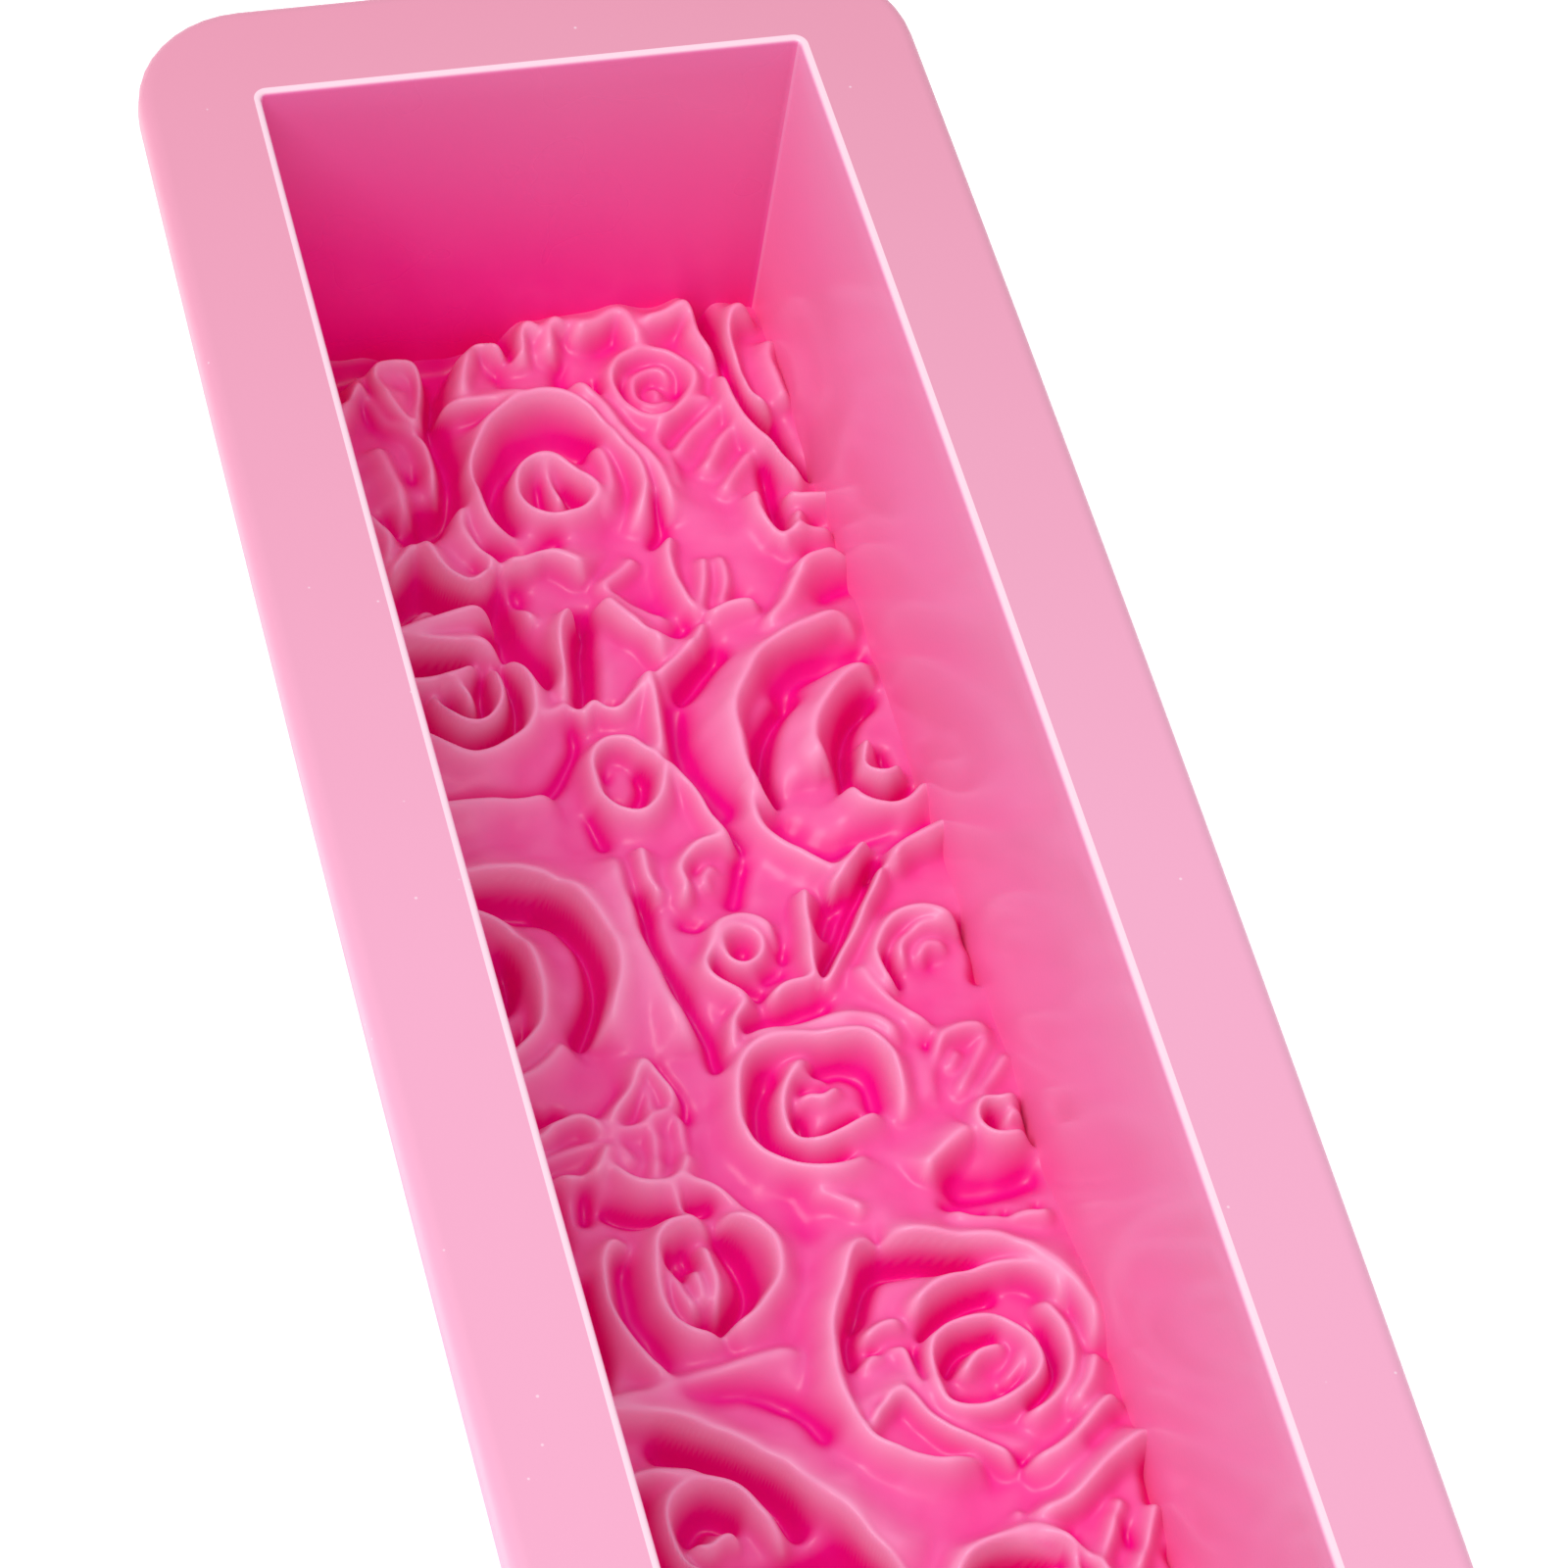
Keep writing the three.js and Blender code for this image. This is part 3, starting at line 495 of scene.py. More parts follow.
def spline(points, steps=10):
    """Catmull-Rom curve through the points. It is closed when the last point repeats the first."""
    given = np.array(points, float)
    closed = len(given) > 3 and np.allclose(given[0], given[-1])
    if closed:
        ends = [given[-2]], [given[1]]
    else:
        ends = [2 * given[0] - given[1]], [2 * given[-1] - given[-2]]
    knots = np.concatenate([ends[0], given, ends[1]])
    t = np.linspace(0, 1, steps, endpoint=False)[:, None]
    spans = []
    for a, b, c, d in zip(knots, knots[1:], knots[2:], knots[3:]):
        linear, square, cube = c - a, 2 * a - 5 * b + 4 * c - d, 3 * b - a - 3 * c + d
        spans.append(0.5 * (2 * b + linear * t + square * t**2 + cube * t**3))
    return np.concatenate(spans + [given[-1:]]), closed


def offsets_from(path, x, y):
    """Signed distance to the path, positive on its left, and how far along it the nearest point is."""
    start, end = path[:-1], path[1:]
    span = end - start
    length = np.maximum(np.hypot(*span.T), 1e-9)
    along = np.concatenate([[0], np.cumsum(length)])
    best = np.full(x.shape, 1e9)
    signed = np.zeros(x.shape)
    place = np.zeros(x.shape)
    for (ax, ay), (dx, dy), size, before in zip(start, span, length, along):
        t = np.clip(((x - ax) * dx + (y - ay) * dy) / size**2, 0, 1)
        distance = np.hypot(x - ax - t * dx, y - ay - t * dy)
        side = np.where(dx * (y - ay) - dy * (x - ax) >= 0, 1.0, -1.0)
        nearer = distance < best
        best = np.where(nearer, distance, best)
        signed = np.where(nearer, distance * side, signed)
        place = np.where(nearer, before + t * size, place)
    return signed, place / along[-1]


def smooth(t):
    t = np.clip(t, 0, 1)
    return t * t * (3 - 2 * t)


def window(path, reach, x_axis, y_axis):
    """The part of the grid within reach of the path."""
    low, high = path.min(0) - reach, path.max(0) + reach
    cols = slice(*np.searchsorted(x_axis, (low[0], high[0])))
    rows = slice(*np.searchsorted(y_axis, (low[1], high[1])))
    return rows, cols


def waves(x, y, size, seed, count=7):
    """Smooth random field of about unit height: a few sine waves of about the given wavelength."""
    draw = np.random.default_rng(seed)
    total = np.zeros(np.broadcast(x, y).shape)
    for _ in range(count):
        angle = draw.uniform(0, 2 * math.pi)
        pitch = size * draw.uniform(0.7, 1.5)
        phase = draw.uniform(0, 2 * math.pi)
        total += np.sin((x * math.cos(angle) + y * math.sin(angle)) * 2 * math.pi / pitch + phase)
    return total / math.sqrt(count / 2)


def blur(field, radius):
    """Gaussian blur, radius in cells."""
    reach = int(3 * radius) + 1
    kernel = np.exp(-0.5 * (np.arange(-reach, reach + 1) / radius) ** 2)
    kernel /= kernel.sum()
    for axis in (0, 1):
        padded = np.pad(field, [(reach, reach) if a == axis else (0, 0) for a in (0, 1)], mode="edge")
        shifted = [np.take(padded, range(k, k + field.shape[axis]), axis) for k in range(2 * reach + 1)]
        field = sum(weight * part for weight, part in zip(kernel, shifted))
    return field


def arc(centre, radius, start, end, rise=0.0):
    """Points along an arc, angles in degrees. Its radius grows by rise from start to end."""
    points = []
    for share in np.linspace(0, 1, 7):
        angle = math.radians(start + (end - start) * share)
        reach = radius * (1 + rise * share)
        points.append((centre[0] + reach * math.cos(angle), centre[1] + reach * math.sin(angle)))
    return points


def centre_and_half(node):
    low, high = box_mm(node)
    return (low + high) / 2, (high - low) / 2


def plain_rose(node, turn):
    """Rings of overlapping petals round a rolled heart, sized by the node's box."""
    centre, half = centre_and_half(node)
    is_drawn = node in DRAWN  # in part, where it shows beside the drawn ones
    rings = PETAL_RINGS if is_drawn else PETAL_RINGS + [LOOSE_PETALS]
    radius = (0.8 if is_drawn else 1.02) * max(half.x, half.y)
    rise = 0.18 if is_drawn else 0.27
    lips, hollows = [], []
    for count, share, sweep, height in rings:
        outer = 0.16 * share * radius + 0.4
        for petal in range(count):
            start = turn * (1 + share) + petal * 360 / count
            lips.append((height, 0.8, outer, arc(centre, share * radius, start, start + sweep, rise)))
            inside = arc(centre, (share - 0.14) * radius, start + 10, start + sweep - 40, rise)
            hollows.append((5, 0.1 * radius, inside))
    lips.append((4.2, 0.6, 0.9, arc(centre, 0.28 * radius, turn, turn + 330, -0.75)))
    return lips, hollows


def plain_leaf(node, turn):
    """Two curved sides that meet at the tips, with a hollow on each side of the midrib."""
    centre, half = centre_and_half(node)
    reach = 1.3 * math.hypot(half.x, half.y)
    along = np.array([math.cos(math.radians(turn)), math.sin(math.radians(turn))])
    across = np.array([-along[1], along[0]])
    middle = np.array([centre.x, centre.y])
    lips, hollows = [], []
    for side in (1, -1):
        edge = []
        for t in (-1, -0.5, 0, 0.5, 1):
            edge.append(tuple(middle + side * reach * (t * along - 0.5 * (1 - t * t) * across)))
        groove = [tuple(middle + reach * (t * along - 0.22 * side * across)) for t in (-0.5, 0, 0.5)]
        lips.append((4.2, 0.8, 1.8, edge))
        hollows.append((3.5, 0.9, groove))
    return lips, hollows


def all_lips_and_hollows():
    """Those of the drawn flowers and leaves, then those of the plain ones."""
    shapes = [shape for node_shapes in DRAWN.values() for shape in node_shapes]
    lips = [shape for shape in shapes if len(shape) == 4]
    hollows = [shape for shape in shapes if len(shape) == 3]
    plain = [plain_rose(node, turn) for node, turn in PLAIN_ROSES.items()]
    plain += [plain_leaf(node, turn) for node, turn in PLAIN_LEAVES.items()]
    for more_lips, more_hollows in plain:
        lips += more_lips
        hollows += more_hollows
    return lips, hollows


def raise_lips(lips, x, y, x_axis, y_axis):
    """How high the lips stand at each place, and how much painted highlight it gets along a lip's crest."""
    cubes = np.zeros_like(x)  # a sum of cubes lets the highest lip win, and rounds where two meet
    crest_highlight = np.zeros_like(x)
    for height, inner, outer, points in lips:
        path, closed = spline(points)
        rows, cols = window(path, 4 * max(inner, outer), x_axis, y_axis)
        offset, place = offsets_from(path, x[rows, cols], y[rows, cols])
        steep = np.exp(-((offset / inner) ** 2))
        gentle = np.exp(-(np.abs(offset / outer) ** 1.4))
        profile = np.where(offset > 0, steep, gentle)
        if not closed:
            profile = profile * (smooth(place / TAPER) * smooth((1 - place) / TAPER)) ** 0.4
        cubes[rows, cols] += (height * profile) ** 3
        # painted highlight: a pale line along the crest of the lip
        line = np.exp(-((offset / CREST_HIGHLIGHT_WIDTH) ** 2)) * np.minimum(profile * 4, 1)
        crest_highlight[rows, cols] = np.maximum(crest_highlight[rows, cols], line * min(height / CREST_HIGHLIGHT_HEIGHT, 1))
    return np.cbrt(cubes), crest_highlight


def sink_hollows(hollows, x, y, x_axis, y_axis):
    """How deep the hollows are at each place."""
    squares = np.zeros_like(x)
    for depth, width, points in hollows:
        if len(points) == 1:  # a pit is a very short groove
            points = [points[0], (points[0][0] + PIT_LENGTH, points[0][1])]
        path, _ = spline(points)
        rows, cols = window(path, 3 * width, x_axis, y_axis)
        offset, _ = offsets_from(path, x[rows, cols], y[rows, cols])
        profile = np.exp(-((offset / (HOLLOW_WIDTH * width)) ** 2))
        squares[rows, cols] += (HOLLOW_DEPTH * depth * profile) ** 2
    return np.sqrt(squares)


def relief_field(x_axis, y_axis):
    """Height of the sculpted floor, and its painted shading: 0 for the painted shade of the deepest hollow,
    1 for the painted highlight along the palest lip.
    """
    x, y = np.meshgrid(x_axis, y_axis)
    bent_x = x + WANDER * waves(x, y, 9, 1)
    bent_y = y + WANDER * waves(x, y, 9, 2)
    lips, hollows = all_lips_and_hollows()
    raised, crest_highlight = raise_lips(lips, bent_x, bent_y, x_axis, y_axis)
    hollow = sink_hollows(hollows, bent_x, bent_y, x_axis, y_axis) * (1 - crest_highlight**2)
    ground = GROUND + 0.4 * waves(x, y, 26, 3)
    ripples = 0.13 * waves(x, y, 5.5, 4) + 0.05 * waves(x, y, 2.4, 5, 11)
    heights = ground + raised - hollow + ripples
    heights = blur(np.clip(heights, FLOOR_TOP + LEAST_COVER, CREST), SOFTNESS / CELL)
    edges = heights - blur(heights, 1.1 / CELL)
    swells = heights - blur(heights, 4.2 / CELL)
    # Painted shade and highlight: darker low down, in hollows and creases, paler on swells, crests and
    # lips.
    painted_shading = 0.42 + 0.22 * crest_highlight**2 + edges / 5 + swells / 12 + (heights - 18) / 24 - 0.08 * hollow
    return heights, np.clip(painted_shading, 0, 1)


# ---- Meshes ----


def flexed(points):
    """The limp silicone's slight bow: the long sides stand out a little at mid-length."""
    bowed = np.array(points, float)
    bowed[:, 0] *= 1 - BOW / MOUTH_X * (bowed[:, 1] / MOUTH_Y) ** 2
    return bowed


def make_mesh(name, points, faces):
    mesh = bpy.data.meshes.new(name)
    mesh.from_pydata((flexed(points) * MM).tolist(), [], faces)
    mesh.shade_smooth()
    return mesh


def add_piece(node, mesh, skins):
    """Puts the mesh in the scene as the look of one CAD node."""
    for skin in skins:
        mesh.materials.append(skin)
    piece = bpy.data.objects.new("cast_" + node, mesh)
    bpy.context.scene.collection.objects.link(piece)
    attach(piece, "root")
    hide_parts(node)


def nearest_motifs(cell_x, cell_y, motifs):
    """Which motif each grid cell belongs to: the one whose edge is nearest."""
    distances = []
    for node in motifs:
        centre, half = centre_and_half(node)
        distances.append(np.hypot(cell_x - centre.x, cell_y - centre.y) - (half.x + half.y) / 2)
    labels = np.argmin(distances, axis=0)
    for _ in range(10):  # cells of one motif that touch only at a corner would make a bad edge
        a, b, c, d = labels[:-1, :-1], labels[:-1, 1:], labels[1:, :-1], labels[1:, 1:]
        falling = (a == d) & (a != b) & (a != c)
        rising = (b == c) & (b != a) & (b != d)
        if not (falling.any() or rising.any()):
            break
        b[falling] = a[falling]
        d[rising & ~falling] = c[rising & ~falling]
    return labels


def border_edges(cells, index):
    """Edges round the marked cells, each with the cells on its left."""
    padded = np.pad(cells, 1)
    inner = padded[1:-1, 1:-1]
    corners = index[:-1, :-1], index[:-1, 1:], index[1:, 1:], index[1:, :-1]
    beside = padded[:-2, 1:-1], padded[1:-1, 2:], padded[2:, 1:-1], padded[1:-1, :-2]
    edges = []
    for side, neighbour in enumerate(beside):
        open_side = inner & ~neighbour
        edges += zip(corners[side][open_side].tolist(), corners[(side + 1) % 4][open_side].tolist())
    return edges


def closed_loops(edges):
    following = dict(edges)
    loops = []
    while following:
        start, point = following.popitem()
        loop = [start]
        while point != start:
            loop.append(point)
            point = following.pop(point)
        loops.append(loop)
    return loops


def tile_mesh(node, cells, index, top, normals, painted_shading_values):
    """One motif's share of the sculpted floor, closed below by a skirt and a flat underside."""
    quads = np.stack([index[:-1, :-1], index[:-1, 1:], index[1:, 1:], index[1:, :-1]], -1)[cells]
    used, quads = np.unique(quads, return_inverse=True)
    quads = quads.reshape(-1, 4).tolist()
    local = {point: place for place, point in enumerate(used.tolist())}
    edges = [(local[a], local[b]) for a, b in border_edges(cells, index)]
    foot = {point: len(used) + place for place, (point, _) in enumerate(edges)}
    skirt = [[b, a, foot[a], foot[b]] for a, b in edges]
    foot_points = top[used[list(foot)]].copy()
    foot_points[:, 2] = FLOOR_TOP
    points = np.concatenate([top[used], foot_points])
    loops = [[foot[point] for point in loop] for loop in closed_loops(edges)]
    order = [point for loop in loops for point in loop]
    outlines = [[Vector(points[point]) for point in loop] for loop in loops]
    under = [[order[corner] for corner in triangle] for triangle in tessellate_polygon(outlines)]
    mesh = make_mesh(node, points, quads + skirt + under)
    down = np.tile([0.0, 0.0, -1.0], (len(foot), 1))
    mesh.normals_split_custom_set_from_vertices(np.concatenate([normals[used], down]).tolist())
    # the relief's painted shade and highlight, stored per point for its colour ramp
    attribute = mesh.attributes.new("painted_shading", "FLOAT", "POINT")
    attribute.data.foreach_set("value", np.concatenate([painted_shading_values[used], np.zeros(len(foot))]))
    return mesh


def build_relief(skin):
    """The sculpted floor, cut into one closed piece for each flower, leaf and ribbon."""
    half_x = MOUTH_X - (TOP - FLOOR_TOP) * DRAFT + EDGE_OVERLAP
    half_y = MOUTH_Y - (TOP - FLOOR_TOP) * DRAFT + EDGE_OVERLAP
    x_axis = np.linspace(-half_x, half_x, round(2 * half_x / CELL) + 1)
    y_axis = np.linspace(-half_y, half_y, round(2 * half_y / CELL) + 1)
    heights, painted_shading_values = relief_field(x_axis, y_axis)
    grid_x, grid_y = np.meshgrid(x_axis, y_axis)
    top = np.stack([grid_x, grid_y, heights], -1).reshape(-1, 3)
    slope_y, slope_x = np.gradient(heights, y_axis, x_axis)
    normals = np.stack([-slope_x, -slope_y, np.ones_like(heights)], -1).reshape(-1, 3)
    normals /= np.linalg.norm(normals, axis=1, keepdims=True)
    index = np.arange(heights.size).reshape(heights.shape)
    motifs = [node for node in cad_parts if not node.startswith(("rim_", "wall_", "floor_"))]
    labels = nearest_motifs(grid_x[:-1, :-1] + CELL / 2, grid_y[:-1, :-1] + CELL / 2, motifs)
    for label, node in enumerate(motifs):
        mesh = tile_mesh(node, labels == label, index, top, normals, painted_shading_values.ravel())
        add_piece(node, mesh, [skin])


def corner_radius(offset):
    return INNER_CORNER + max(offset, 0) * (1 - INNER_CORNER / RIM_WIDTH)


def outline(offset, height):
    """A rounded rectangle the given distance outside the mouth, counter-clockwise from above."""
    radius = corner_radius(offset)
    centre_x, centre_y = MOUTH_X + offset - radius, MOUTH_Y + offset - radius
    corners = []
    for turn, (side_x, side_y) in enumerate([(1, 1), (-1, 1), (-1, -1), (1, -1)]):
        angles = (turn + np.linspace(0, 1, CORNER_STEPS + 1)) * math.pi / 2
        x, y = side_x * centre_x + radius * np.cos(angles), side_y * centre_y + radius * np.sin(angles)
        corners.append(np.stack([x, y], -1))
    loop = []
    for turn, steps in enumerate(SIDE_STEPS):
        here, following = corners[turn], corners[(turn + 1) % 4]
        t = np.linspace(0, 1, steps + 1)[1:-1, None]
        loop += [here, here[-1] * (1 - t) + following[0] * t]
    flat = np.concatenate(loop)
    return np.column_stack([flat, np.full(len(flat), height)])


def mid_corners():
    """The place in an outline of the middle of each rounded corner, and of the first one again."""
    places = [CORNER_STEPS // 2]
    for steps in SIDE_STEPS:
        places.append(places[-1] + CORNER_STEPS + steps)
    return places


def joined(levels, is_ring):
    """Points and side faces of outlines joined one to the next, and in a ring back to the first."""
    loops = [outline(offset, height) for offset, height in levels]
    count = len(loops[0])
    faces = []
    for span in range(len(loops) if is_ring else len(loops) - 1):
        lower, upper = span * count, (span + 1) % len(loops) * count
        for i in range(count):
            following = (i + 1) % count
            faces.append([lower + i, lower + following, upper + following, upper + i])
    return np.concatenate(loops), faces, count


def flat_normals(mesh, faces):
    return [tuple(mesh.polygons[face].normal) for face in faces for _ in mesh.polygons[face].vertices]


def build_four_sides(prefix, levels, skins, first_inner=None):
    """A ring round the mouth, mitred at its corners into the far, left, near and right pieces.

    Faces from level first_inner on take the second of the skins. The shading is that of the whole
    ring, so the mitres don't show.
    """
    points, faces, count = joined(levels, is_ring=True)
    whole = make_mesh("whole_ring", points, faces)
    whole.set_sharp_from_angle(angle=SHARP)
    shading = np.empty(len(whole.loops) * 3, np.float32)
    whole.corner_normals.foreach_get("vector", shading)
    shading = shading.reshape(-1, 4, 3)
    cuts = mid_corners()
    for side, start, end in zip(("far", "left", "near", "right"), cuts, cuts[1:]):
        chosen = [span * count + i % count for span in range(len(levels)) for i in range(start, end)]
        own = [faces[face] for face in chosen]
        start_cap = [level * count + start for level in range(len(levels))]
        end_cap = [level * count + end % count for level in reversed(range(len(levels)))]
        used, flat = np.unique(np.concatenate([np.ravel(own), start_cap, end_cap]), return_inverse=True)
        quads = flat[: 4 * len(own)].reshape(-1, 4).tolist()
        caps = flat[4 * len(own) :].reshape(2, -1).tolist()
        node = f"{prefix}_{side}"
        mesh = make_mesh(node, points[used], quads + caps)
        cap_normals = flat_normals(mesh, (len(quads), len(quads) + 1))
        mesh.normals_split_custom_set(shading[chosen].reshape(-1, 3).tolist() + cap_normals)
        add_piece(node, mesh, skins(side))
        if first_inner is not None:
            inner = [int(face // count >= first_inner) for face in chosen] + [0, 0]
            mesh.polygons.foreach_set("material_index", inner)
    bpy.data.meshes.remove(whole)


def fillet(offset, height, radius, start, end, steps=5):
    """Levels round a quarter circle about the given centre, angles in degrees."""
    angles = np.radians(np.linspace(start, end, steps + 1))
    return [(offset + radius * math.cos(a), height + radius * math.sin(a)) for a in angles]


def spread(first, last, steps):
    """Levels evenly between two, without the first."""
    first, last = np.array(first), np.array(last)
    return [tuple(first + (last - first) * step / steps) for step in range(1, steps + 1)]


def outer_offset(height):
    return WALL_OFFSET - (FLANGE_UNDERSIDE - height) * OUTER_DRAFT


def build_slab(skin):
    """The solid bottom under the flowers, rounded where it meets the outer walls."""
    foot = fillet(outer_offset(0) - FOOT_RADIUS, FOOT_RADIUS, FOOT_RADIUS, -90, 0)
    levels = [(foot[0][0] - SUPPORT, 0.0)] + foot + [(outer_offset(FLOOR_TOP), FLOOR_TOP)]
    points, faces, count = joined(levels, is_ring=False)
    last = (len(levels) - 1) * count
    faces += [list(range(count))[::-1], [last + i for i in range(count)]]
    mesh = make_mesh("floor_slab", points, faces)
    mesh.set_sharp_from_angle(angle=SHARP)
    add_piece("floor_slab", mesh, [skin])


def build_walls(outer_skin, side_skin, end_skin):
    outside = [(outer_offset(FLOOR_TOP), FLOOR_TOP)]
    outside += spread(outside[-1], (WALL_OFFSET, FLANGE_UNDERSIDE), steps=6)
    outside += [(WALL_OFFSET, TOP), (MOUTH_RADIUS + SUPPORT, TOP)]
    inside = fillet(MOUTH_RADIUS, TOP - MOUTH_RADIUS, MOUTH_RADIUS, 90, 180)
    inside += spread(inside[-1], (-(TOP - FLOOR_TOP) * DRAFT, FLOOR_TOP), steps=12)

    def skins(side):
        return [outer_skin, end_skin if side in ("far", "near") else side_skin]

    build_four_sides("wall", outside + inside, skins, len(outside) - 1)


def build_rim(skin):
    under_centre = FLANGE_UNDERSIDE + UNDER_RADIUS
    under = fillet(RIM_WIDTH - UNDER_RADIUS, under_centre, UNDER_RADIUS, -90, 0, steps=3)
    edge = fillet(RIM_WIDTH - EDGE_RADIUS, TOP - EDGE_RADIUS, EDGE_RADIUS, 0, 90)
    levels = under + edge + [(RIM_WIDTH - EDGE_RADIUS - SUPPORT, TOP)]
    levels += spread(levels[-1], (WALL_OFFSET, TOP), steps=4) + [(WALL_OFFSET, FLANGE_UNDERSIDE)]
    levels += spread(levels[-1], (RIM_WIDTH - UNDER_RADIUS - SUPPORT, FLANGE_UNDERSIDE), steps=3)
    build_four_sides("rim", levels, lambda side: [skin])


# ---- Materials ----


class Nodes:
    """A material's node tree, with short ways to add and join its nodes."""

    def __init__(self, name):
        self.material = bpy.data.materials.new(name)
        self.material.use_nodes = True
        self.tree = self.material.node_tree
        self.shader = self.tree.nodes["Principled BSDF"]
        self.place = self.add("ShaderNodeTexCoord").outputs["Object"]

    def add(self, kind, **settings):
        node = self.tree.nodes.new(kind)
        for key, value in settings.items():
            setattr(node, key, value)
        return node

    def join(self, source, target):
        self.tree.links.new(source, target)

    def noise(self, size_mm, detail=2.0):
        """Noise of about the given grain size, between 0 and 1."""
        node = self.add("ShaderNodeTexNoise")
        node.inputs["Scale"].default_value = 1 / (size_mm * MM)
        node.inputs["Detail"].default_value = detail
        self.join(self.place, node.inputs["Vector"])
        return node.outputs["Fac"]

    def remap(self, value, low, high, to_low=0.0, to_high=1.0):
        node = self.add("ShaderNodeMapRange")
        for name, number in zip(("From Min", "From Max", "To Min", "To Max"), (low, high, to_low, to_high)):
            node.inputs[name].default_value = number
        self.join(value, node.inputs["Value"])
        return node.outputs["Result"]

    def math(self, operation, first, second):
        node = self.add("ShaderNodeMath", operation=operation)
        for socket, value in zip(node.inputs, (first, second)):
            if isinstance(value, (int, float)):
                socket.default_value = value
            else:
                self.join(value, socket)
        return node.outputs["Value"]

    def ramp(self, value, stops):
        node = self.add("ShaderNodeValToRGB")
        elements = node.color_ramp.elements
        while len(elements) < len(stops):
            elements.new(0.5)
        for element, (position, colour) in zip(elements, stops):
            element.position = position
            element.color = (*colour, 1)
        self.join(value, node.inputs["Fac"])
        return node.outputs["Color"]

    def blend(self, share, first, colour):
        """Mixes a plain colour into the first one."""
        node = self.add("ShaderNodeMix", data_type="RGBA")
        self.join(share, node.inputs["Factor"])
        self.join(first, node.inputs["A"])
        node.inputs["B"].default_value = (*colour, 1)
        return node.outputs["Result"]

    def coordinate(self, axis):
        split = self.add("ShaderNodeSeparateXYZ")
        self.join(self.place, split.inputs[0])
        return split.outputs[axis]


# Sizes of the patterns in the silicone are in millimetres.
CLOUDINESS = 0.02  # how far the clouds in the casting shift its colour along the ramp
CLOUD_SIZE = 18
WEAR_SIZE = 10  # of the patches that are a little shinier or duller
GRAIN_SIZE = 0.5
GRAIN_DEPTH = 0.03
SILICONE_IOR = 1.41
END_WALL_SHADOW_TILT = 0.2  # how much paler the end walls get from their middle to their right, and darker to their left, as a painted shadow of the left wall
MOUTH_HIGHLIGHT_SPAN = 0.993, 0.998  # heights, as a share, between which the painted highlight along the mouth's edge fades in
SPECK_SPACING = 3.5
SPECK_PATCH = 9

# Rim: the silicone's pink made paler by painted sheen, with painted shade towards the far end where less
# light reaches.
RIM_PINK_WITH_SHEEN = (0.88, 0.395, 0.58)
RIM_FAR_SHADED_PINK = (0.82, 0.32, 0.46)
# painted highlight along the mouth's rounded edge
MOUTH_HIGHLIGHT = (1.0, 0.70, 0.82)
SPECK = (0.95, 0.72, 0.82)
RIM_SHEEN_AND_SHADE_STOPS = [(0, RIM_PINK_WITH_SHEEN), (1, RIM_FAR_SHADED_PINK)]
# Side walls: the lit copy of the wall silicone, paler where the key light falls on them, with painted shade
# darkening them towards the floor.
SIDE_WALL_SHADING_STOPS = [
    (0, (0.97, 0.15, 0.51)),
    (0.3, (0.98, 0.34, 0.64)),
    (0.6, (0.98, 0.37, 0.67)),
    (0.955, (0.98, 0.46, 0.72)),
]
# End walls: the shaded copy of the wall silicone, deep and saturated near the floor as painted shade.
END_WALL_SHADING_STOPS = [
    (0, (0.94, 0.004, 0.34)),
    (0.3, (0.93, 0.04, 0.40)),
    (0.6, (0.92, 0.15, 0.48)),
    (0.955, (0.92, 0.25, 0.53)),
]
# Relief colours along its painted shading: deep magenta for painted shade in hollows, pale pink for painted
# highlight on lips.
RELIEF_SHADING_STOPS = [(0, (0.84, 0.002, 0.29)), (0.42, (0.85, 0.135, 0.41)), (1, (0.89, 0.35, 0.58))]


def with_specks(nodes, colour, strength):
    """Adds a few pale specks: a small dot in some of the cells of a coarse pattern."""
    cells = nodes.add("ShaderNodeTexVoronoi")
    cells.inputs["Scale"].default_value = 1 / (SPECK_SPACING * MM)
    nodes.join(nodes.place, cells.inputs["Vector"])
    near = nodes.remap(cells.outputs["Distance"], 0.035, 0.06, 1, 0)
    some = nodes.math("LESS_THAN", nodes.noise(SPECK_PATCH, 0), 0.5)
    share = nodes.math("MULTIPLY", nodes.math("MULTIPLY", near, some), strength)
    return nodes.blend(share, colour, SPECK)


def with_grain(nodes):
    """A fine bump, which takes the glassy look off the surface."""
    bump = nodes.add("ShaderNodeBump")
    bump.inputs["Strength"].default_value = 0.35
    bump.inputs["Distance"].default_value = GRAIN_DEPTH * MM
    nodes.join(nodes.noise(GRAIN_SIZE, 2), bump.inputs["Height"])
    nodes.join(bump.outputs["Normal"], nodes.shader.inputs["Normal"])


def silicone(name, stops, gloss, value_of, specks=0.0, has_mouth_highlight=False):
    """Satin silicone. Its colour follows stops along a value, which carries painted shade and highlight,
    with a faint cloudiness in the casting.
    """
    nodes = Nodes(name)
    cloud = nodes.remap(nodes.noise(CLOUD_SIZE, 1), 0.2, 0.8, -CLOUDINESS, CLOUDINESS)
    colour = nodes.ramp(nodes.math("ADD", value_of(nodes), cloud), stops)
    if has_mouth_highlight:
        # painted highlight along the mouth's rounded edge
        colour = nodes.blend(nodes.remap(along_height(nodes), *MOUTH_HIGHLIGHT_SPAN), colour, MOUTH_HIGHLIGHT)
    if specks:
        colour = with_specks(nodes, colour, specks)
    nodes.join(colour, nodes.shader.inputs["Base Color"])
    wear = nodes.remap(nodes.noise(WEAR_SIZE, 1), 0.2, 0.8, gloss - 0.03, gloss + 0.04)
    nodes.join(wear, nodes.shader.inputs["Roughness"])
    with_grain(nodes)
    nodes.shader.inputs["IOR"].default_value = SILICONE_IOR
    return nodes.material


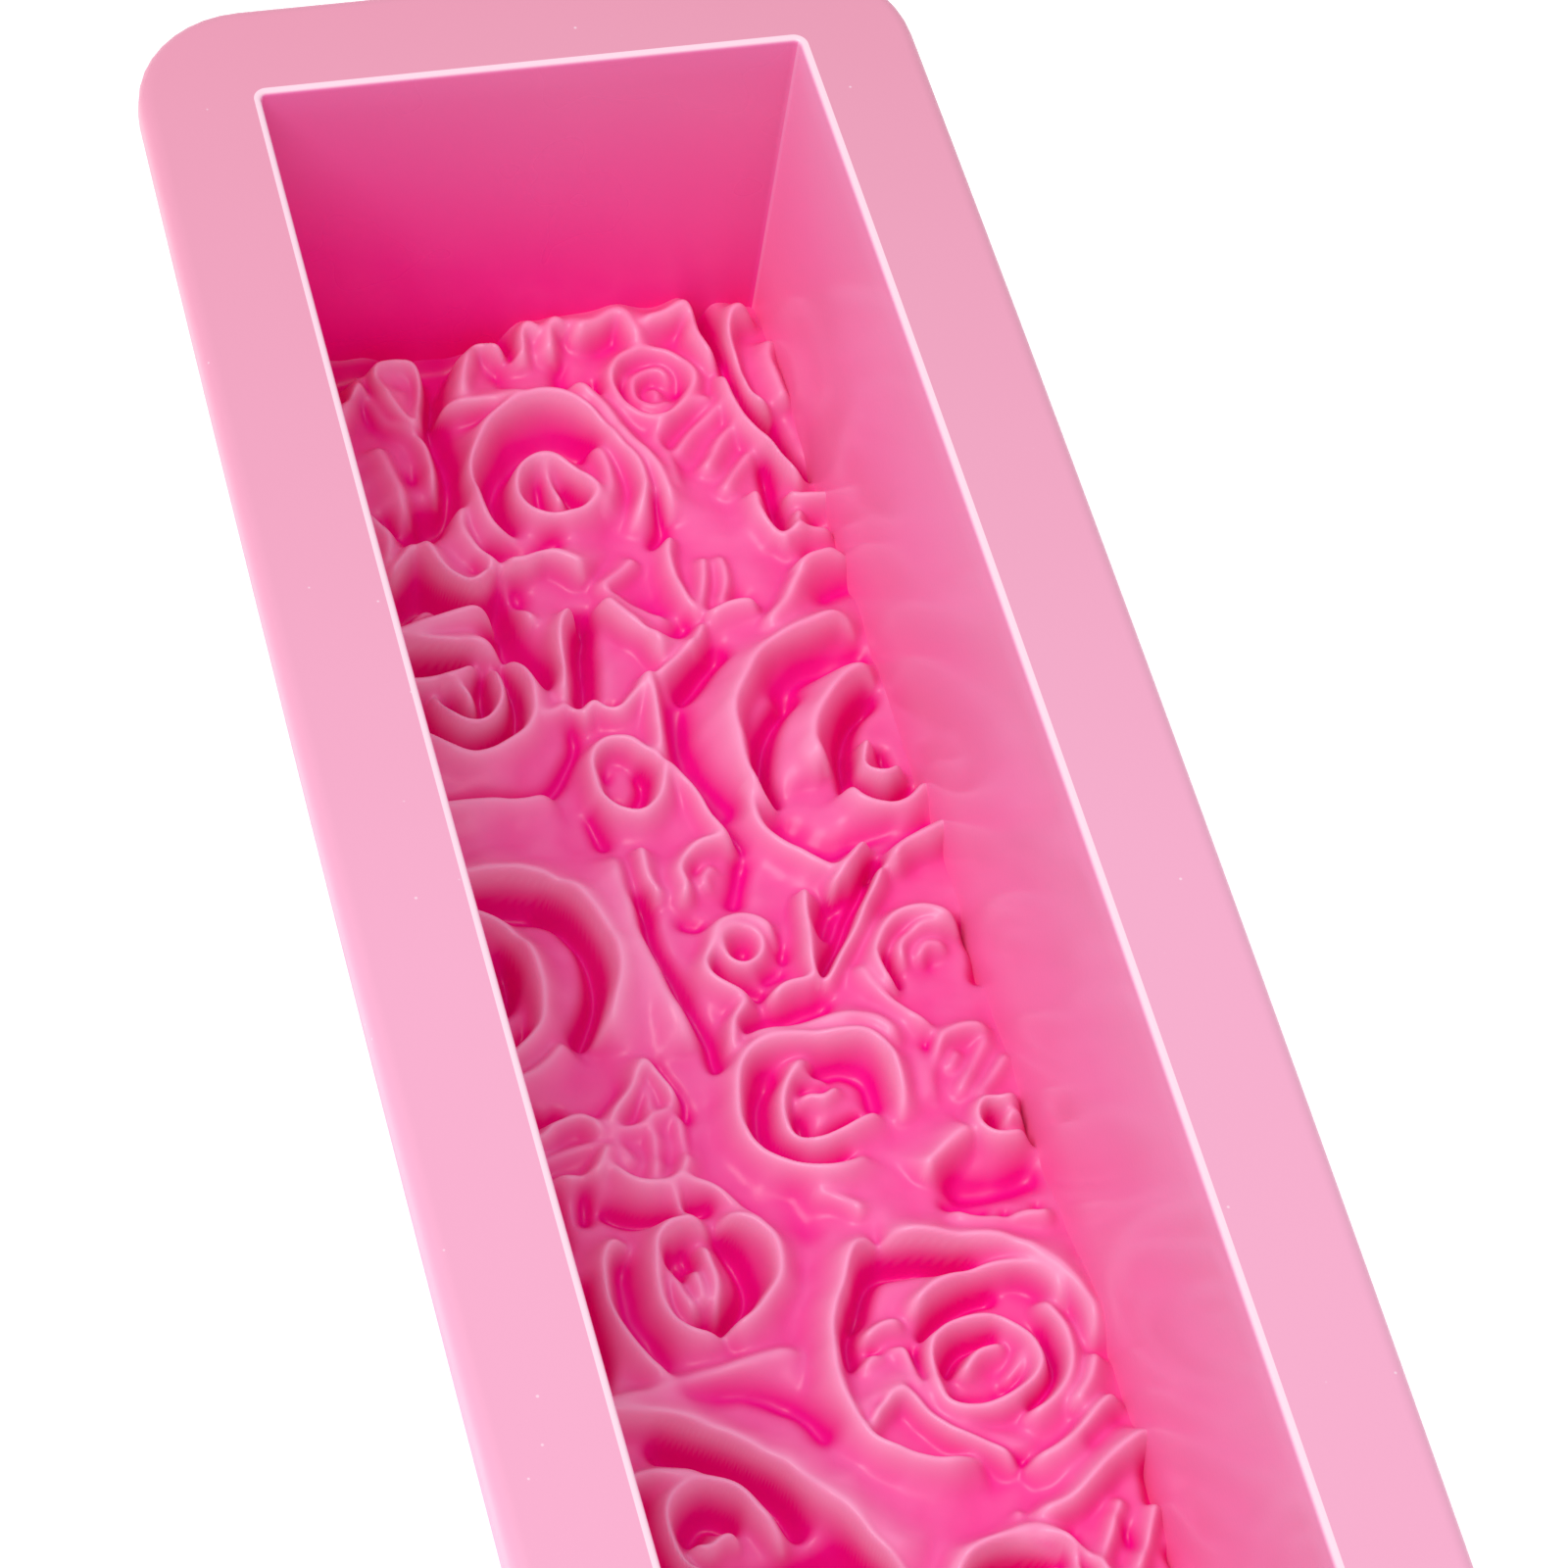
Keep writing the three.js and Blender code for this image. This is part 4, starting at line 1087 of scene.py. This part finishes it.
def along_height(nodes):
    """0 at the top of the solid bottom and 1 at the mouth."""
    return nodes.remap(nodes.coordinate("Z"), FLOOR_TOP * MM, TOP * MM)


def along_length(nodes):
    """0 from the middle of the mould to the near end, and 1 at the far end, where the rim gets its painted
    shade.
    """
    return nodes.remap(nodes.coordinate("Y"), 0, END_RIM_HIGH.y * MM)


def end_wall_shading(nodes):
    """Rises with the height, and to the right: painted shade low down and a painted shadow of the left wall
    on the left of the end walls.
    """
    tilt = nodes.math("MULTIPLY", nodes.coordinate("X"), END_WALL_SHADOW_TILT / (MOUTH_X * MM))
    return nodes.math("ADD", along_height(nodes), tilt)


# the relief's painted shade and highlight, read from its mesh attribute
def relief_painted_shading(nodes):
    return nodes.add("ShaderNodeAttribute", attribute_name="painted_shading").outputs["Fac"]


# Lit and shaded copies of one silicone: the rim paler with painted sheen, the side walls the lit copy, the
# end walls the shaded copy, the relief coloured by its painted shading.
rim_skin = silicone("rim_silicone", RIM_SHEEN_AND_SHADE_STOPS, 0.38, along_length, specks=0.7)
side_skin = silicone("side_wall_silicone", SIDE_WALL_SHADING_STOPS, 0.15, along_height, has_mouth_highlight=True)
end_skin = silicone("end_wall_silicone", END_WALL_SHADING_STOPS, 0.28, end_wall_shading, has_mouth_highlight=True)
relief_skin = silicone("relief_silicone", RELIEF_SHADING_STOPS, 0.34, relief_painted_shading)

build_slab(rim_skin)
build_walls(rim_skin, side_skin, end_skin)
build_rim(rim_skin)
build_relief(relief_skin)

# ---- Setting, light and camera ----


CAMERA_PLACE = (-0.1523, -0.3583, 0.5693)
CAMERA_LOOK = (0.23843, 0.57902, -0.77967)
CAMERA_ROLL = math.radians(10.33)
CAMERA_LENS = 142.2
SURROUND = 0.565  # strength of the even light from all round
STAGE_GAP = 0.0002  # keeps the stage clear of the mould's underside


def add_stage():
    bpy.ops.mesh.primitive_plane_add(size=6, location=(0, 0, -STAGE_GAP))
    stage = bpy.context.object
    stage.name = "pale_floor"
    material = bpy.data.materials.new("pale_floor")
    material.use_nodes = True
    shader = material.node_tree.nodes["Principled BSDF"]
    shader.inputs["Base Color"].default_value = (0.93, 0.93, 0.93, 1)
    shader.inputs["Roughness"].default_value = 0.9
    shader.inputs["Emission Color"].default_value = (1, 1, 1, 1)
    shader.inputs["Emission Strength"].default_value = 0.45
    stage.data.materials.append(material)


def add_softbox(name, location, aim, size, power):
    data = bpy.data.lights.new(name, "AREA")
    data.size = size
    data.energy = power
    light = bpy.data.objects.new(name, data)
    light.location = location
    light.rotation_euler = (Vector(aim) - Vector(location)).to_track_quat("-Z", "Y").to_euler()
    bpy.context.scene.collection.objects.link(light)


def add_camera():
    data = bpy.data.cameras.new("camera")
    data.sensor_width = 36
    data.lens = CAMERA_LENS
    camera = bpy.data.objects.new("camera", data)
    look = Vector(CAMERA_LOOK).to_track_quat("-Z", "Y")
    camera.rotation_mode = "QUATERNION"
    camera.rotation_quaternion = look @ Quaternion((0, 0, 1), CAMERA_ROLL)
    camera.location = CAMERA_PLACE
    bpy.context.scene.collection.objects.link(camera)
    bpy.context.scene.camera = camera


def add_world():
    world = bpy.data.worlds.new("soft_surround")
    world.use_nodes = True
    background = world.node_tree.nodes["Background"]
    background.inputs["Color"].default_value = (1, 1, 1, 1)
    background.inputs["Strength"].default_value = SURROUND
    bpy.context.scene.world = world


add_stage()
add_softbox("key_softbox", (-0.62, -0.15, 1.22), (0, 0.02, 0.02), 0.7, 9.0)
add_softbox("fill_softbox", (0.05, -0.3, 0.65), (0.02, -0.1, 0.02), 0.3, 0.5)
add_world()
add_camera()

scene = bpy.context.scene
scene.view_settings.view_transform = "Standard"
scene.view_settings.look = "None"
scene.cycles.max_bounces = 16
scene.cycles.diffuse_bounces = 12
